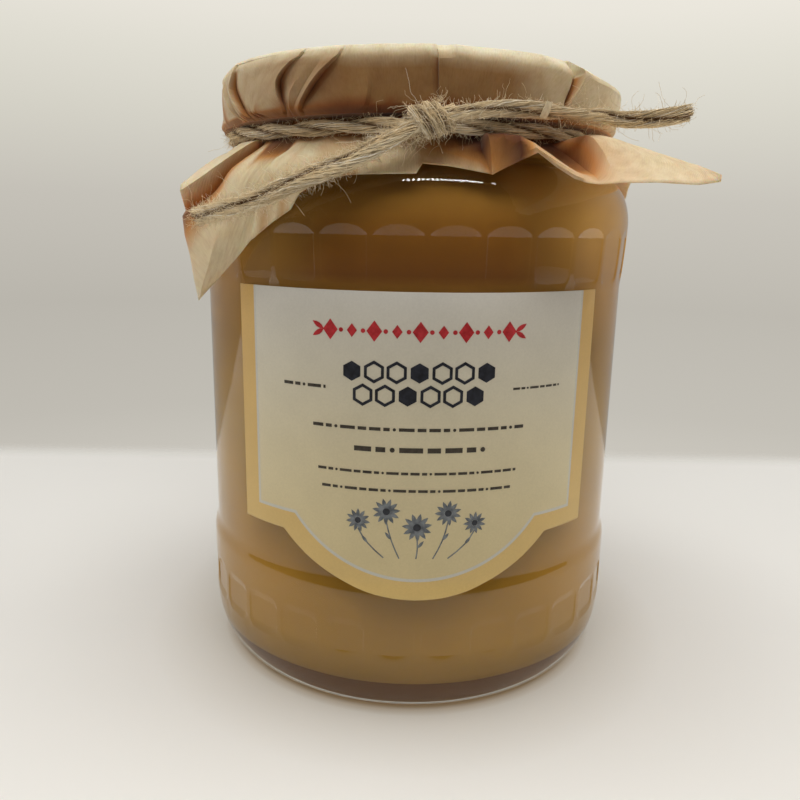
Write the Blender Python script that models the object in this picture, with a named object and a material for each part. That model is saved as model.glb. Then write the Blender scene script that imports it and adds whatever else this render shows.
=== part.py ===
"""A honey jar with a kraft paper cover tied over its lid.

The jar stands on Z = 0 with its axis on Z, and the middle of its label faces -Y.
Lengths at the top are in millimetres and angles in degrees from -Y towards +X.
"""

import math

import bmesh
import bpy
from mathutils import Vector

MM = 0.001

# Glass jar
JAR_RADIUS = 48.0
LABEL_ZONE_RADIUS = 47.2
JAR_HEIGHT = 125.5
HEEL_WIDTH = 6.2
HEEL_HEIGHT = 13.0
LEDGE_BOTTOM = 26.6
LEDGE_TOP = 30.2
SHOULDER_START = 97.8
SHOULDER_RISE = 11.4
NECK_RADIUS = 38.6
FINISH_RADIUS = 39.4
FINISH_START = 116.0
LIP_RADIUS = 38.6
BORE_RADIUS = 36.2
INNER_RADIUS = 45.0
BASE_THICKNESS = 5.5
INNER_HEEL_WIDTH = 7.0
INNER_HEEL_HEIGHT = 9.0
PANEL_COUNT = 30
PANEL_PHASE = 1.0
PANEL_HALF_ANGLE = 4.9
PANEL_DEPTH = 0.45
LOWER_PANEL = (12.6, 21.6)
UPPER_PANEL = (86.0, 97.2)
PANEL_SLOPE_HEIGHT = 1.0

# Honey
HONEY_LEVEL = 112.5
HONEY_GAP = 0.45

# Lid
LID_RADIUS = 42.6
LID_BOTTOM = 117.0
LID_TOP = 126.4
LID_SHEET = 0.6
LID_COLUMNS = 40

# Label
LABEL_HALF_WIDTH = 38.4
LABEL_TOP = 85.6
LABEL_SHOULDER = 38.0
LABEL_LOBE_HALF_WIDTH = 27.3
LABEL_BOTTOM = 26.9
LABEL_GAP = 0.35
LABEL_THICKNESS = 0.4
LABEL_LOBE_COLUMNS = 16

# Paper cover
PAPER_THICKNESS = 0.5
PAPER_TOP = 127.2
PAPER_SIDE_RADIUS = 43.6
CINCH_RADIUS = 39.6
CINCH_TOP = 115.9
CINCH_BOTTOM = 112.1
SKIRT_ROWS = 4
COLUMN_STEP = 7.0

# Twine
LOOP_DIAMETER = 3.2
LOOP_RADIUS = 41.7
LOOP_HEIGHT = 114.0
LOOP_END_ANGLE = 6.6
LOOP_SWING = 1.0
LOOP_STEPS = 34
KNOT_CENTRE = (0.75, -46.2, 114.3)
KNOT_CORE_HALF_LENGTH = 3.2
KNOT_CORE_DIAMETER = 4.4
KNOT_TURN_SHIFT = 1.5
KNOT_TURN_RADIUS = 1.75
KNOT_TURN_THICKNESS = 3.1
TAIL_DIAMETER = 3.8
TAIL_SPACING = 2.4 * TAIL_DIAMETER

# Routes of the two loose ends from the knot outwards: (angle, radius, height)
LEFT_TAIL = [(-5.4, 47.6, 112.7), (-10.0, 48.2, 111.0), (-15.3, 49.1, 108.7), (-24.4, 51.4, 104.4)]
LEFT_TAIL += [(-31.2, 53.5, 101.9), (-38.5, 55.2, 99.9), (-48.4, 56.6, 97.3)]
RIGHT_TAIL = [(5.8, 47.8, 115.3), (11.0, 47.2, 116.5), (17.0, 46.5, 117.3), (26.0, 46.4, 118.5)]
RIGHT_TAIL += [(35.4, 46.8, 118.2), (43.0, 47.9, 117.8), (46.4, 50.4, 117.0), (51.0, 55.0, 117.4)]
RIGHT_TAIL += [(55.0, 60.3, 118.2)]


def clear_scene():
    for thing in list(bpy.data.objects):
        bpy.data.objects.remove(thing, do_unlink=True)


def polar(angle, radius, height):
    """A point in metres from an angle off -Y, a radius and a height."""
    turn = math.radians(angle)
    return Vector((radius * math.sin(turn), -radius * math.cos(turn), height)) * MM


def material(name, colour, roughness, metallic=0.0, transmission=0.0, alpha=1.0):
    new = bpy.data.materials.new(name)
    new.use_nodes = True
    shader = new.node_tree.nodes["Principled BSDF"]
    shader.inputs["Base Color"].default_value = (*colour, 1.0)
    shader.inputs["Roughness"].default_value = roughness
    shader.inputs["Metallic"].default_value = metallic
    shader.inputs["Transmission Weight"].default_value = transmission
    shader.inputs["Alpha"].default_value = alpha
    new.diffuse_color = (*colour, 1.0)
    return new


def add_object(name, mesh, finish, smooth_angle=None):
    thing = bpy.data.objects.new(name, mesh)
    bpy.context.scene.collection.objects.link(thing)
    mesh.materials.append(finish)
    if smooth_angle is not None:
        mesh.shade_smooth()
        mesh.set_sharp_from_angle(angle=math.radians(smooth_angle))
    return thing


def mesh_from_rings(name, rings, start_cap=None, end_cap=None):
    """Closed skin through equal rings of points, with a fan to a point at each end."""
    work = bmesh.new()
    rows = [[work.verts.new(point) for point in ring] for ring in rings]
    count = len(rings[0])
    for below, above in zip(rows, rows[1:]):
        for i in range(count):
            j = (i + 1) % count
            work.faces.new((below[i], below[j], above[j], above[i]))
    for cap, row, forward in ((start_cap, rows[0], False), (end_cap, rows[-1], True)):
        if cap is None:
            continue
        centre = work.verts.new(cap)
        for i in range(count):
            j = (i + 1) % count
            edge = (row[i], row[j]) if forward else (row[j], row[i])
            work.faces.new((*edge, centre))
    mesh = bpy.data.meshes.new(name)
    work.to_mesh(mesh)
    work.free()
    return mesh


def ellipse_arc(centre, half_width, half_height, start, end, steps):
    """Profile points (radius, height) along an ellipse, angles in degrees from +X."""
    points = []
    for step in range(steps + 1):
        turn = math.radians(start + (end - start) * step / steps)
        radius = centre[0] + half_width * math.cos(turn)
        points.append((radius, centre[1] + half_height * math.sin(turn)))
    return points


def turned(name, profile, finish, columns, smooth_angle=40):
    """A solid of revolution whose profile starts and ends on the axis."""
    angles = [360.0 * i / columns for i in range(columns)]
    rings = [[polar(a, r, z) for a in angles] for r, z in profile[1:-1]]
    start = polar(0, *profile[0])
    end = polar(0, *profile[-1])
    return add_object(name, mesh_from_rings(name, rings, start, end), finish, smooth_angle)


def outer_glass_profile():
    heel_centre = (JAR_RADIUS - HEEL_WIDTH, HEEL_HEIGHT)
    shoulder_width = JAR_RADIUS - FINISH_RADIUS
    profile = ellipse_arc(heel_centre, HEEL_WIDTH, HEEL_HEIGHT, -90, -18, 4)
    profile += [(JAR_RADIUS, z) for z in panel_rows(LOWER_PANEL)]
    profile += [(JAR_RADIUS, LEDGE_BOTTOM), (LABEL_ZONE_RADIUS, LEDGE_TOP)]
    top_of_panels = UPPER_PANEL[1]
    for z in panel_rows(UPPER_PANEL):
        rise = (z - UPPER_PANEL[0]) / (top_of_panels - UPPER_PANEL[0])
        widening = (JAR_RADIUS - LABEL_ZONE_RADIUS) * rise ** 0.6
        profile.append((LABEL_ZONE_RADIUS + widening, z))
    shoulder_centre = (FINISH_RADIUS, SHOULDER_START)
    profile += ellipse_arc(shoulder_centre, shoulder_width, SHOULDER_RISE, 0, 84, 6)
    profile += [(NECK_RADIUS, SHOULDER_START + SHOULDER_RISE + 1.2)]
    profile += [(NECK_RADIUS, FINISH_START), (FINISH_RADIUS, FINISH_START + 0.8)]
    profile += [(FINISH_RADIUS, JAR_HEIGHT - 1.5), (LIP_RADIUS, JAR_HEIGHT)]
    return profile


def panel_rows(span):
    low, high = span
    return [low, low + PANEL_SLOPE_HEIGHT, high - PANEL_SLOPE_HEIGHT, high]


def inner_glass_profile(clearance=0.0):
    """Inside of the glass from the mouth down to the floor, shrunk by a clearance."""
    radius = INNER_RADIUS - clearance
    bore = BORE_RADIUS - clearance
    floor = BASE_THICKNESS + clearance
    shoulder_base = SHOULDER_START - clearance
    profile = [(bore, shoulder_base + SHOULDER_RISE - 1.0)]
    profile += ellipse_arc((bore, shoulder_base), radius - bore, SHOULDER_RISE - 2.6, 78, 0, 5)
    heel_centre = (radius - INNER_HEEL_WIDTH, floor + INNER_HEEL_HEIGHT)
    profile += ellipse_arc(heel_centre, INNER_HEEL_WIDTH, INNER_HEEL_HEIGHT, 0, -90, 2)
    return profile


def panel_angles():
    """Column angles: a rib, then both edges of the flat panel beside it."""
    pitch = 360.0 / PANEL_COUNT
    margin = pitch / 2 - PANEL_HALF_ANGLE
    angles = []
    for panel in range(PANEL_COUNT):
        rib = PANEL_PHASE + pitch * panel
        angles += [rib, rib + margin, rib + pitch - margin]
    return angles


def glass_radius(radius, height, column):
    """The edges of a panel drop to a flat that lies PANEL_DEPTH inside the ribs."""
    for low, high in (LOWER_PANEL, UPPER_PANEL):
        if column % 3 and low < height < high:
            return (radius - PANEL_DEPTH) / math.cos(math.radians(PANEL_HALF_ANGLE))
    return radius


def make_glass(finish):
    angles = panel_angles()
    rings = []
    for radius, height in outer_glass_profile():
        rings.append([polar(a, glass_radius(radius, height, i), height) for i, a in enumerate(angles)])
    rings.append([polar(a, BORE_RADIUS, JAR_HEIGHT) for a in angles])
    for radius, height in inner_glass_profile():
        rings.append([polar(a, radius, height) for a in angles])
    floor = polar(0, 0, BASE_THICKNESS)
    mesh = mesh_from_rings("glass_jar", rings, polar(0, 0, 0), floor)
    return add_object("glass_jar", mesh, finish, 35)


def make_honey(finish):
    profile = [(0, HONEY_LEVEL), (BORE_RADIUS - HONEY_GAP, HONEY_LEVEL)]
    profile += inner_glass_profile(HONEY_GAP)
    profile += [(0, BASE_THICKNESS + HONEY_GAP)]
    return turned("honey", profile[::-1], finish, 45)


def make_lid(finish):
    """A twist-off lid: flat top, short skirt and a rolled lower edge."""
    wall = LID_RADIUS - 0.3
    ceiling = LID_TOP - LID_SHEET
    profile = [(0, LID_TOP)]
    profile += [(wall - 3.0, LID_TOP), (wall - 1.3, LID_TOP - 0.8), (wall, LID_TOP - 3.2)]
    profile += [(wall, LID_BOTTOM + 1.8), (LID_RADIUS, LID_BOTTOM + 1.1)]
    profile += [(LID_RADIUS, LID_BOTTOM + 0.3), (wall - 1.2, LID_BOTTOM)]
    profile += [(wall - LID_SHEET, LID_BOTTOM + 1.8), (wall - LID_SHEET, LID_TOP - 3.2)]
    profile += [(wall - 3.0, ceiling), (0, ceiling)]
    return turned("lid", profile[::-1], finish, LID_COLUMNS)


def profile_radius(height):
    """Outer radius of the glass at a height below the shoulder."""
    points = [p for p in outer_glass_profile() if p[1] <= SHOULDER_START]
    for (r0, z0), (r1, z1) in zip(points, points[1:]):
        if z0 <= height <= z1 and z1 > z0:
            return r0 + (r1 - r0) * (height - z0) / (z1 - z0)
    return JAR_RADIUS


def label_bottom(offset):
    """Lower edge of the label: straight shoulders and a round lobe in the middle."""
    if abs(offset) >= LABEL_LOBE_HALF_WIDTH:
        return LABEL_SHOULDER
    drop = LABEL_SHOULDER - LABEL_BOTTOM
    lobe_radius = (LABEL_LOBE_HALF_WIDTH ** 2 + drop ** 2) / (2 * drop)
    return LABEL_BOTTOM + lobe_radius - math.sqrt(lobe_radius ** 2 - offset ** 2)


def label_offsets():
    """Places across the label, counted along its curve, with one at each corner."""
    lobe = LABEL_LOBE_HALF_WIDTH
    side = (LABEL_HALF_WIDTH + lobe) / 2
    columns = [lobe * (2.0 * i / LABEL_LOBE_COLUMNS - 1.0) for i in range(LABEL_LOBE_COLUMNS + 1)]
    return [-LABEL_HALF_WIDTH, -side] + columns + [side, LABEL_HALF_WIDTH]


def make_label(finish):
    """A printed sheet that follows the glass and laps over the ledge below it."""
    radius = LABEL_ZONE_RADIUS + LABEL_GAP
    rows = []
    for offset in label_offsets():
        bottom = label_bottom(offset)
        angle = math.degrees(offset / radius)
        lap = max(LEDGE_TOP, bottom + 1.0)
        heights = [bottom, (bottom + lap) / 2, lap, LABEL_TOP]
        rows.append([(angle, z) for z in heights])
    work = bmesh.new()
    skins = []
    for extra in (LABEL_GAP, LABEL_GAP + LABEL_THICKNESS):
        skin = [[work.verts.new(polar(a, profile_radius(z) + extra, z)) for a, z in row] for row in rows]
        skins.append(skin)
    inner, outer = skins
    height_count = len(rows[0])
    for i in range(len(rows) - 1):
        for k in range(height_count - 1):
            work.faces.new((outer[i][k], outer[i + 1][k], outer[i + 1][k + 1], outer[i][k + 1]))
            work.faces.new((inner[i][k + 1], inner[i + 1][k + 1], inner[i + 1][k], inner[i][k]))
        work.faces.new((inner[i][0], inner[i + 1][0], outer[i + 1][0], outer[i][0]))
        work.faces.new((outer[i][-1], outer[i + 1][-1], inner[i + 1][-1], inner[i][-1]))
    for k in range(height_count - 1):
        work.faces.new((inner[0][k], outer[0][k], outer[0][k + 1], inner[0][k + 1]))
        work.faces.new((outer[-1][k], inner[-1][k], inner[-1][k + 1], outer[-1][k + 1]))
    mesh = bpy.data.meshes.new("label")
    work.to_mesh(mesh)
    work.free()
    return add_object("label", mesh, finish, 40)


class Fold:
    """One fold line of the paper, from the rim of the lid over the tie to the hem.

    rim and tie are angles, out is how far the side stands off the lid, and bend,
    brow and hem are the (angle, radius, height) of the skirt below the tie. slack is
    how far the paper cuts the corner of the rim.
    """

    def __init__(self, rim, out, tie, bend, brow, hem=None, slack=0.0):
        self.rim = rim
        self.out = out
        self.tie = tie
        self.slack = slack
        self.bend = bend
        self.brow = brow
        self.hem = hem or tuple(b + (b - c) * 0.12 for b, c in zip(brow, bend))

    def blend(self, other, share):
        def mix(a, b):
            return tuple(x + (y - x) * share for x, y in zip(a, b))
        rim, out, tie = mix((self.rim, self.out, self.tie), (other.rim, other.out, other.tie))
        bend, brow, hem = mix(self.bend, other.bend), mix(self.brow, other.brow), mix(self.hem, other.hem)
        return Fold(rim, out, tie, bend, brow, hem, self.slack + (other.slack - self.slack) * share)

    def turned(self, angle):
        def turn(point):
            return (point[0] + angle, point[1], point[2])
        skirt = (turn(self.bend), turn(self.brow), turn(self.hem))
        return Fold(self.rim + angle, self.out, self.tie + angle, *skirt, self.slack)


# Fold lines in order round the jar: the sheet's corners lie near -62, 36, 125 and 215
FOLDS = [
    Fold(-78, 0.1, -54, (-66, 47.5, 110.5), (-74.5, 52.0, 104.2)),
    Fold(-71, -0.1, -51, (-62, 47.3, 107.8), (-71, 51.5, 97.0)),
    Fold(-64, 0.9, -47, (-54, 51.0, 107.8), (-64, 51.4, 87.0)),
    Fold(-60, 0.0, -44, (-50, 52.0, 108.0), (-60.5, 51.4, 84.0)),
    Fold(-43, 0.9, -36, (-38, 49.5, 109.0), (-36, 50.0, 94.6)),
    Fold(-38, -0.1, -34, (-34, 48.6, 109.4), (-32, 49.2, 97.2)),
    Fold(-24, 1.2, -31.5, (-31, 48.0, 109.5), (-28.5, 48.8, 99.9)),
    Fold(-21, -0.1, -29, (-26, 45.4, 109.8), (-23, 48.4, 103.2)),
    Fold(-17, 0.1, -20, (-19.5, 43.8, 109.8), (-19.3, 47.9, 105.6)),
    Fold(-3, 0.0, -3, (-2.5, 44.2, 109.9), (-1.8, 48.4, 106.2)),
    Fold(2.4, 0.6, -1, (-0.6, 42.6, 109.9), (-0.2, 46.9, 107.4)),
    Fold(4.5, 0.0, 4, (5, 43.2, 109.8), (5, 47.2, 107.0)),
    Fold(10, 0.2, 13, (13, 43.6, 109.8), (14.2, 47.9, 106.3)),
    Fold(16, 0.0, 17, (17, 43.0, 110.6), (16, 47.6, 111.9), (17.2, 46.9, 107.6)),
    Fold(24, 0.0, 23, (23, 43.0, 109.4), (21.5, 48.2, 110.3), (21.5, 46.6, 108.6)),
    Fold(33, 0.0, 30, (29, 43.8, 108.0), (25.2, 51.0, 108.0), (26.5, 48.6, 107.3)),
    Fold(38, 1.0, 37, (34, 46.6, 107.4), (28.2, 55.4, 105.4), (30.5, 53.2, 104.8), 0.6),
    Fold(41, -0.1, 42, (39, 50.0, 108.6), (30.8, 62.4, 104.4), (33, 60.6, 103.9), 1.4),
    Fold(48, 0.6, 47, (42, 54.0, 110.6), (34.0, 71.6, 104.3), (35.6, 74.6, 103.6), 2.2),
    Fold(56, 0.0, 51, (44, 56.0, 111.5), (37.2, 73.6, 106.3), (38.2, 75.2, 104.9), 2.4),
    Fold(66, 0.0, 56, (50, 50.0, 111.6), (47, 60.4, 107.0), (50, 61.2, 105.0), 2.2),
    Fold(78, 0.5, 66, (64, 45.6, 109.8), (64, 51.0, 106.0), None, 1.8),
    Fold(90, 0.0, 82, (82, 44.0, 109.4), (82, 48.4, 105.4), None, 0.8),
    Fold(104, 0.9, 98, (100, 47.0, 110.0), (101, 51.2, 101.4)),
    Fold(117, 0.0, 114, (116, 49.4, 110.0), (117, 56.0, 94.6)),
    Fold(128, 1.0, 124, (125, 53.4, 110.4), (126, 61.2, 89.4)),
    Fold(141, 0.0, 134, (138, 49.8, 109.6), (140, 53.0, 96.4)),
    Fold(155, 0.9, 150, (153, 46.6, 109.6), (156, 50.0, 102.8)),
    Fold(170, 0.0, 168, (169, 43.8, 109.6), (169, 48.2, 105.4)),
    Fold(184, 1.0, 184, (186, 45.8, 109.8), (187, 50.4, 103.0)),
    Fold(199, 0.0, 198, (200, 48.4, 109.4), (201, 51.0, 97.0)),
    Fold(212, 1.1, 210, (213, 52.6, 109.4), (215, 54.6, 86.4)),
    Fold(226, 0.0, 224, (226, 49.8, 109.0), (228, 51.2, 95.4)),
    Fold(240, 0.9, 243, (243, 46.2, 109.6), (243, 50.2, 102.8)),
    Fold(252, 0.0, 260, (260, 44.2, 109.4), (260, 48.4, 105.2)),
    Fold(268, 0.8, 280, (272, 46.6, 109.4), (273, 51.0, 101.6)),
]


def fold_columns():
    """The fold lines with columns between them, so that the cover stays round."""
    columns = []
    closing = FOLDS + [FOLDS[0].turned(360)]
    for fold, following in zip(closing, closing[1:]):
        steps = max(1, math.ceil((following.rim - fold.rim) / COLUMN_STEP))
        for step in range(steps):
            columns.append(fold.blend(following, step / steps))
    return columns


def fold_points(fold):
    """Outer face of the paper along one fold line, from the rim to the hem."""
    slack = fold.slack
    side = PAPER_SIDE_RADIUS
    side_angle = fold.rim * 0.6 + fold.tie * 0.4
    points = [polar(fold.rim, side - 1.6 - slack, PAPER_TOP)]
    points.append(polar(fold.rim, side - 0.35 - slack * 0.4, PAPER_TOP - 0.5 - slack * 0.35))
    points.append(polar(fold.rim, side + fold.out * 0.3, PAPER_TOP - 1.8 - slack))
    points.append(polar(side_angle, side + fold.out, (PAPER_TOP + CINCH_TOP) / 2 - slack * 0.3))
    points.append(polar(fold.tie, side - 0.1 + fold.out * 0.4, CINCH_TOP + 1.0))
    points.append(polar(fold.tie, PAPER_SIDE_RADIUS - 1.2, CINCH_TOP))
    points.append(polar(fold.tie, CINCH_RADIUS + 0.6, CINCH_TOP - 0.1))
    points.append(polar(fold.tie, CINCH_RADIUS, CINCH_TOP - 0.7))
    start = (fold.tie, CINCH_RADIUS, CINCH_BOTTOM)
    for row in range(SKIRT_ROWS + 1):
        t = row / SKIRT_ROWS
        weights = ((1 - t) ** 2, 2 * t * (1 - t), t * t)
        spot = [sum(w * p[k] for w, p in zip(weights, (start, fold.bend, fold.brow))) for k in range(3)]
        points.append(polar(*spot))
    points.append(polar(*fold.hem))
    return points


def make_paper(finish):
    """One square sheet pressed over the lid, tied at the neck and flared below."""
    lines = [fold_points(fold) for fold in fold_columns()]
    rings = [list(ring) for ring in zip(*lines)]
    mesh = mesh_from_rings("paper_cover", rings[::-1], None, polar(0, 0, PAPER_TOP))
    thing = add_object("paper_cover", mesh, finish, 30)
    solidify = thing.modifiers.new("thickness", "SOLIDIFY")
    solidify.thickness = PAPER_THICKNESS * MM
    solidify.offset = -1.0
    return thing


def smooth_route(points, spacing):
    """Even points along a Catmull-Rom curve through the route's own points."""
    ends = [points[0] * 2 - points[1]] + points + [points[-1] * 2 - points[-2]]
    dense = []
    for p0, p1, p2, p3 in zip(ends, ends[1:], ends[2:], ends[3:]):
        for step in range(12):
            t = step / 12
            spot = 2 * p1 + (p2 - p0) * t
            spot = spot + (2 * p0 - 5 * p1 + 4 * p2 - p3) * t ** 2
            dense.append((spot + (3 * p1 - p0 - 3 * p2 + p3) * t ** 3) / 2)
    dense.append(points[-1])
    lengths = [0.0]
    for a, b in zip(dense, dense[1:]):
        lengths.append(lengths[-1] + (b - a).length)
    count = max(2, round(lengths[-1] / spacing))
    even = []
    place = 0
    for i in range(count + 1):
        target = lengths[-1] * i / count
        while place < len(lengths) - 2 and lengths[place + 1] < target:
            place += 1
        share = (target - lengths[place]) / (lengths[place + 1] - lengths[place])
        even.append(dense[place].lerp(dense[place + 1], share))
    return even


def tube(name, points, diameter, finish):
    curve = bpy.data.curves.new(name, "CURVE")
    curve.dimensions = "3D"
    curve.bevel_depth = diameter / 2 * MM
    curve.bevel_resolution = 2
    curve.use_fill_caps = True
    line = curve.splines.new("POLY")
    line.points.add(len(points) - 1)
    for spot, point in zip(line.points, points):
        spot.co = (*point, 1.0)
    thing = bpy.data.objects.new(name, curve)
    bpy.context.scene.collection.objects.link(thing)
    curve.materials.append(finish)
    return thing


def make_loop(finish):
    """The turn of twine round the neck, which swings out to the knot at its ends."""
    points = []
    for step in range(LOOP_STEPS + 1):
        angle = LOOP_END_ANGLE + (360 - 2 * LOOP_END_ANGLE) * step / LOOP_STEPS
        from_knot = min(angle, 360 - angle) - LOOP_END_ANGLE
        swing = LOOP_SWING * math.exp(-(from_knot / LOOP_END_ANGLE) ** 2)
        points.append(polar(angle, LOOP_RADIUS + swing, LOOP_HEIGHT))
    return tube("twine_loop", points, LOOP_DIAMETER, finish)


def make_tail(name, route, finish):
    points = smooth_route([polar(*spot) for spot in route], TAIL_SPACING * MM)
    return tube(name, points, TAIL_DIAMETER, finish)


def weld(mesh):
    """Join the doubled points of a mesh and turn its faces outwards."""
    work = bmesh.new()
    work.from_mesh(mesh)
    bmesh.ops.remove_doubles(work, verts=work.verts, dist=1e-6)
    bmesh.ops.recalc_face_normals(work, faces=work.faces)
    work.to_mesh(mesh)
    work.free()


def knot_turn(centre, axis, finish):
    """One closed turn of twine round an axis through a centre, in millimetres."""
    along = axis.normalized()
    across = along.orthogonal().normalized()
    up = along.cross(across)
    minor = KNOT_TURN_THICKNESS / 2
    rings = []
    for i in range(16):
        turn = 2 * math.pi * i / 16
        out = across * math.cos(turn) + up * math.sin(turn)
        ring = []
        for j in range(8):
            roll = 2 * math.pi * j / 8
            reach = KNOT_TURN_RADIUS + minor * math.cos(roll)
            ring.append((centre + out * reach + along * minor * math.sin(roll)) * MM)
        rings.append(ring)
    mesh = mesh_from_rings("knot_turn", rings + [rings[0]])
    weld(mesh)
    return add_object("knot_turn", mesh, finish)


def make_knot(finish):
    """An overhand knot: two slanting turns of twine drawn tight round a core."""
    centre = Vector(KNOT_CENTRE)
    lean = Vector((1.0, 0.0, 0.35)).normalized()
    slant = lean + Vector((0.0, 0.35, -0.15))
    places = [KNOT_CORE_HALF_LENGTH * share for share in (-1, -0.5, 0, 0.5, 1)]
    core = tube("knot_core", [(centre + lean * x) * MM for x in places], KNOT_CORE_DIAMETER, finish)
    turns = [knot_turn(centre + lean * x, slant, finish) for x in (-KNOT_TURN_SHIFT, KNOT_TURN_SHIFT)]
    return joined_by_union("twine_knot", core, turns, finish)


def evaluated_mesh(thing):
    bpy.context.view_layer.update()
    graph = bpy.context.evaluated_depsgraph_get()
    return bpy.data.meshes.new_from_object(thing.evaluated_get(graph))


def joined_by_union(name, core, others, finish):
    """One closed body from overlapping pieces, by a Boolean union that is applied."""
    group = bpy.data.collections.new(name + "_pieces")
    bpy.context.scene.collection.children.link(group)
    for piece in others:
        bpy.context.scene.collection.objects.unlink(piece)
        group.objects.link(piece)
    body = evaluated_mesh(core)
    weld(body)
    thing = add_object(name, body, finish)
    union = thing.modifiers.new("union", "BOOLEAN")
    union.operation = "UNION"
    union.solver = "EXACT"
    union.operand_type = "COLLECTION"
    union.collection = group
    result = evaluated_mesh(thing)
    thing.modifiers.clear()
    thing.data = result
    result.shade_smooth()
    for piece in [core] + others:
        bpy.data.objects.remove(piece, do_unlink=True)
    bpy.data.collections.remove(group)
    return thing


def main():
    clear_scene()
    glass = material("clear_glass", (0.90, 0.92, 0.88), 0.05, transmission=0.9, alpha=0.35)
    honey = material("creamed_honey", (0.52, 0.31, 0.10), 0.45)
    tin = material("gold_lacquered_tin", (0.72, 0.56, 0.24), 0.3, metallic=0.9)
    print_paper = material("label_paper", (0.72, 0.68, 0.54), 0.5)
    kraft = material("kraft_paper", (0.50, 0.33, 0.18), 0.8)
    jute = material("jute_twine", (0.42, 0.32, 0.20), 0.95)
    make_glass(glass)
    make_honey(honey)
    make_lid(tin)
    make_label(print_paper)
    make_paper(kraft)
    make_loop(jute)
    make_knot(jute)
    make_tail("twine_tail_left", LEFT_TAIL, jute)
    make_tail("twine_tail_right", RIGHT_TAIL, jute)


main()
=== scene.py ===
"""Looks of the honey jar: its camera, twine, glass, honey, label, paper cover and light.

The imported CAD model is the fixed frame, in metres: the jar stands on Z = 0, its axis is Z
and the middle of its label faces -Y. Lengths named in the sections are in millimetres and
angles in degrees from -Y towards +X, unless a comment says otherwise.
"""

import math
from functools import partial

import bmesh
import bpy
from mathutils import Matrix, Vector, noise


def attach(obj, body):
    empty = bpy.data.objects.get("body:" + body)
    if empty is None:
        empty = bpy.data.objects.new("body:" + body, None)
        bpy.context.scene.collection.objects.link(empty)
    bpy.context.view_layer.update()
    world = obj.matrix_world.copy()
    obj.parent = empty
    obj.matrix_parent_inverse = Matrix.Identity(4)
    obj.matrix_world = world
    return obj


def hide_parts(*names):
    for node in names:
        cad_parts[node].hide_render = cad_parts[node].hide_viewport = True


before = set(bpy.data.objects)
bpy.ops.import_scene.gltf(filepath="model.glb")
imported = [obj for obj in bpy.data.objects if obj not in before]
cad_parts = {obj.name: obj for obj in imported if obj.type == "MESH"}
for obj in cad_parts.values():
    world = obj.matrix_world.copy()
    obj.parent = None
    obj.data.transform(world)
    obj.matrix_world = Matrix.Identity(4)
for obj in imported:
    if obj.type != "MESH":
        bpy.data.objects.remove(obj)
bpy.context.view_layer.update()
MM = 0.001


# Camera
# The photograph was taken from just below the height of the lid, looking slightly down.
# Place, turn and focal length were solved from the ribs, rims and label of the jar.
CAMERA_PLACE = Vector((-5.472, -177.06, 96.288)) * MM
CAMERA_HEADING = 0.0157
CAMERA_DIP = 0.2285
CAMERA_ROLL = -0.0183
FOCAL_PIXELS = 733.161
FRAME_PIXELS = 800
SENSOR_MM = 36.0
NEAREST_SEEN = 5.0


def camera_matrix():
    """Where the camera stands and how it is turned, as one matrix."""
    forward = Vector((
        math.sin(CAMERA_HEADING) * math.cos(CAMERA_DIP),
        math.cos(CAMERA_HEADING) * math.cos(CAMERA_DIP),
        -math.sin(CAMERA_DIP),
    ))
    level = forward.cross(Vector((0, 0, 1))).normalized()
    upright = level.cross(forward)
    right = level * math.cos(CAMERA_ROLL) - upright * math.sin(CAMERA_ROLL)
    up = level * math.sin(CAMERA_ROLL) + upright * math.cos(CAMERA_ROLL)
    turn = Matrix((right, up, -forward)).transposed()
    return Matrix.Translation(CAMERA_PLACE) @ turn.to_4x4()


def new_object(name, data, finish=None):
    """An object for a mesh, a lamp or the camera, with a mesh's material."""
    made = bpy.data.objects.new(name, data)
    bpy.context.scene.collection.objects.link(made)
    if finish is not None:
        data.materials.append(finish)
    return made


camera_data = bpy.data.cameras.new("camera")
camera_data.sensor_width = SENSOR_MM
camera_data.lens = FOCAL_PIXELS * SENSOR_MM / FRAME_PIXELS
camera_data.clip_start = NEAREST_SEEN * MM
camera = new_object("camera", camera_data)
camera.matrix_world = camera_matrix()
bpy.context.scene.camera = camera


# Twine: the two loose ends, the turn round the neck, the knot and what clings to them
# Two-ply jute, laid loosely and hairy. It is tied over the paper in one overhand knot.
# Every ply is a bundle of strands that follows the cord's own route.
LEFT_TAIL = (
    (-1.8, 46.4, 113.4), (-5.4, 47.7, 111.8), (-10.0, 48.2, 109.6), (-15.3, 49.1, 107.3),
    (-24.4, 51.4, 104.2), (-31.2, 53.5, 101.3), (-38.5, 55.2, 99.5), (-47.4, 56.4, 97.8),
)
RIGHT_TAIL = (
    (2.6, 46.6, 114.6), (5.8, 47.6, 115.3), (11.0, 47.2, 116.0), (17.0, 46.5, 116.7), (26.0, 46.4, 116.9),
    (35.4, 46.8, 116.9), (43.0, 47.9, 117.3), (46.4, 50.4, 116.7), (51.0, 55.0, 117.0), (55.0, 60.3, 118.2),
)
LOOP_RADIUS = 40.9
LOOP_HEIGHT = 114.0
LOOP_END_ANGLE = 6.6
LOOP_STEPS = 120
KNOT_CENTRE = Vector((0.75, -46.2, 114.3))
KNOT_LEAN = Vector((1.0, 0.0, 0.33)).normalized()
# Where the part that runs through the knot is bent, and the two turns laid over it: how
# far along the knot each lies and how far out it reaches
KNOT_THROUGH = (-4.6, -3.0, -1.5, 0, 1.5, 3.0, 4.6)
KNOT_TURNS = ((-1.15, 2.1), (1.35, 2.0))
KNOT_TURN_STEPS = 20
CHIP_PLACE = (25.6, 48.2, 116.7)
CHIP_LENGTH = 2.8
# Half of the chip's width, at shares of its length from its middle
CHIP_HALVES = ((-0.5, 0.64), (-0.15, 0.7), (0.2, 0.6), (0.5, 0.52))
GOLDEN_ANGLE = 2.39996
JUTE_IOR = 1.5
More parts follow.
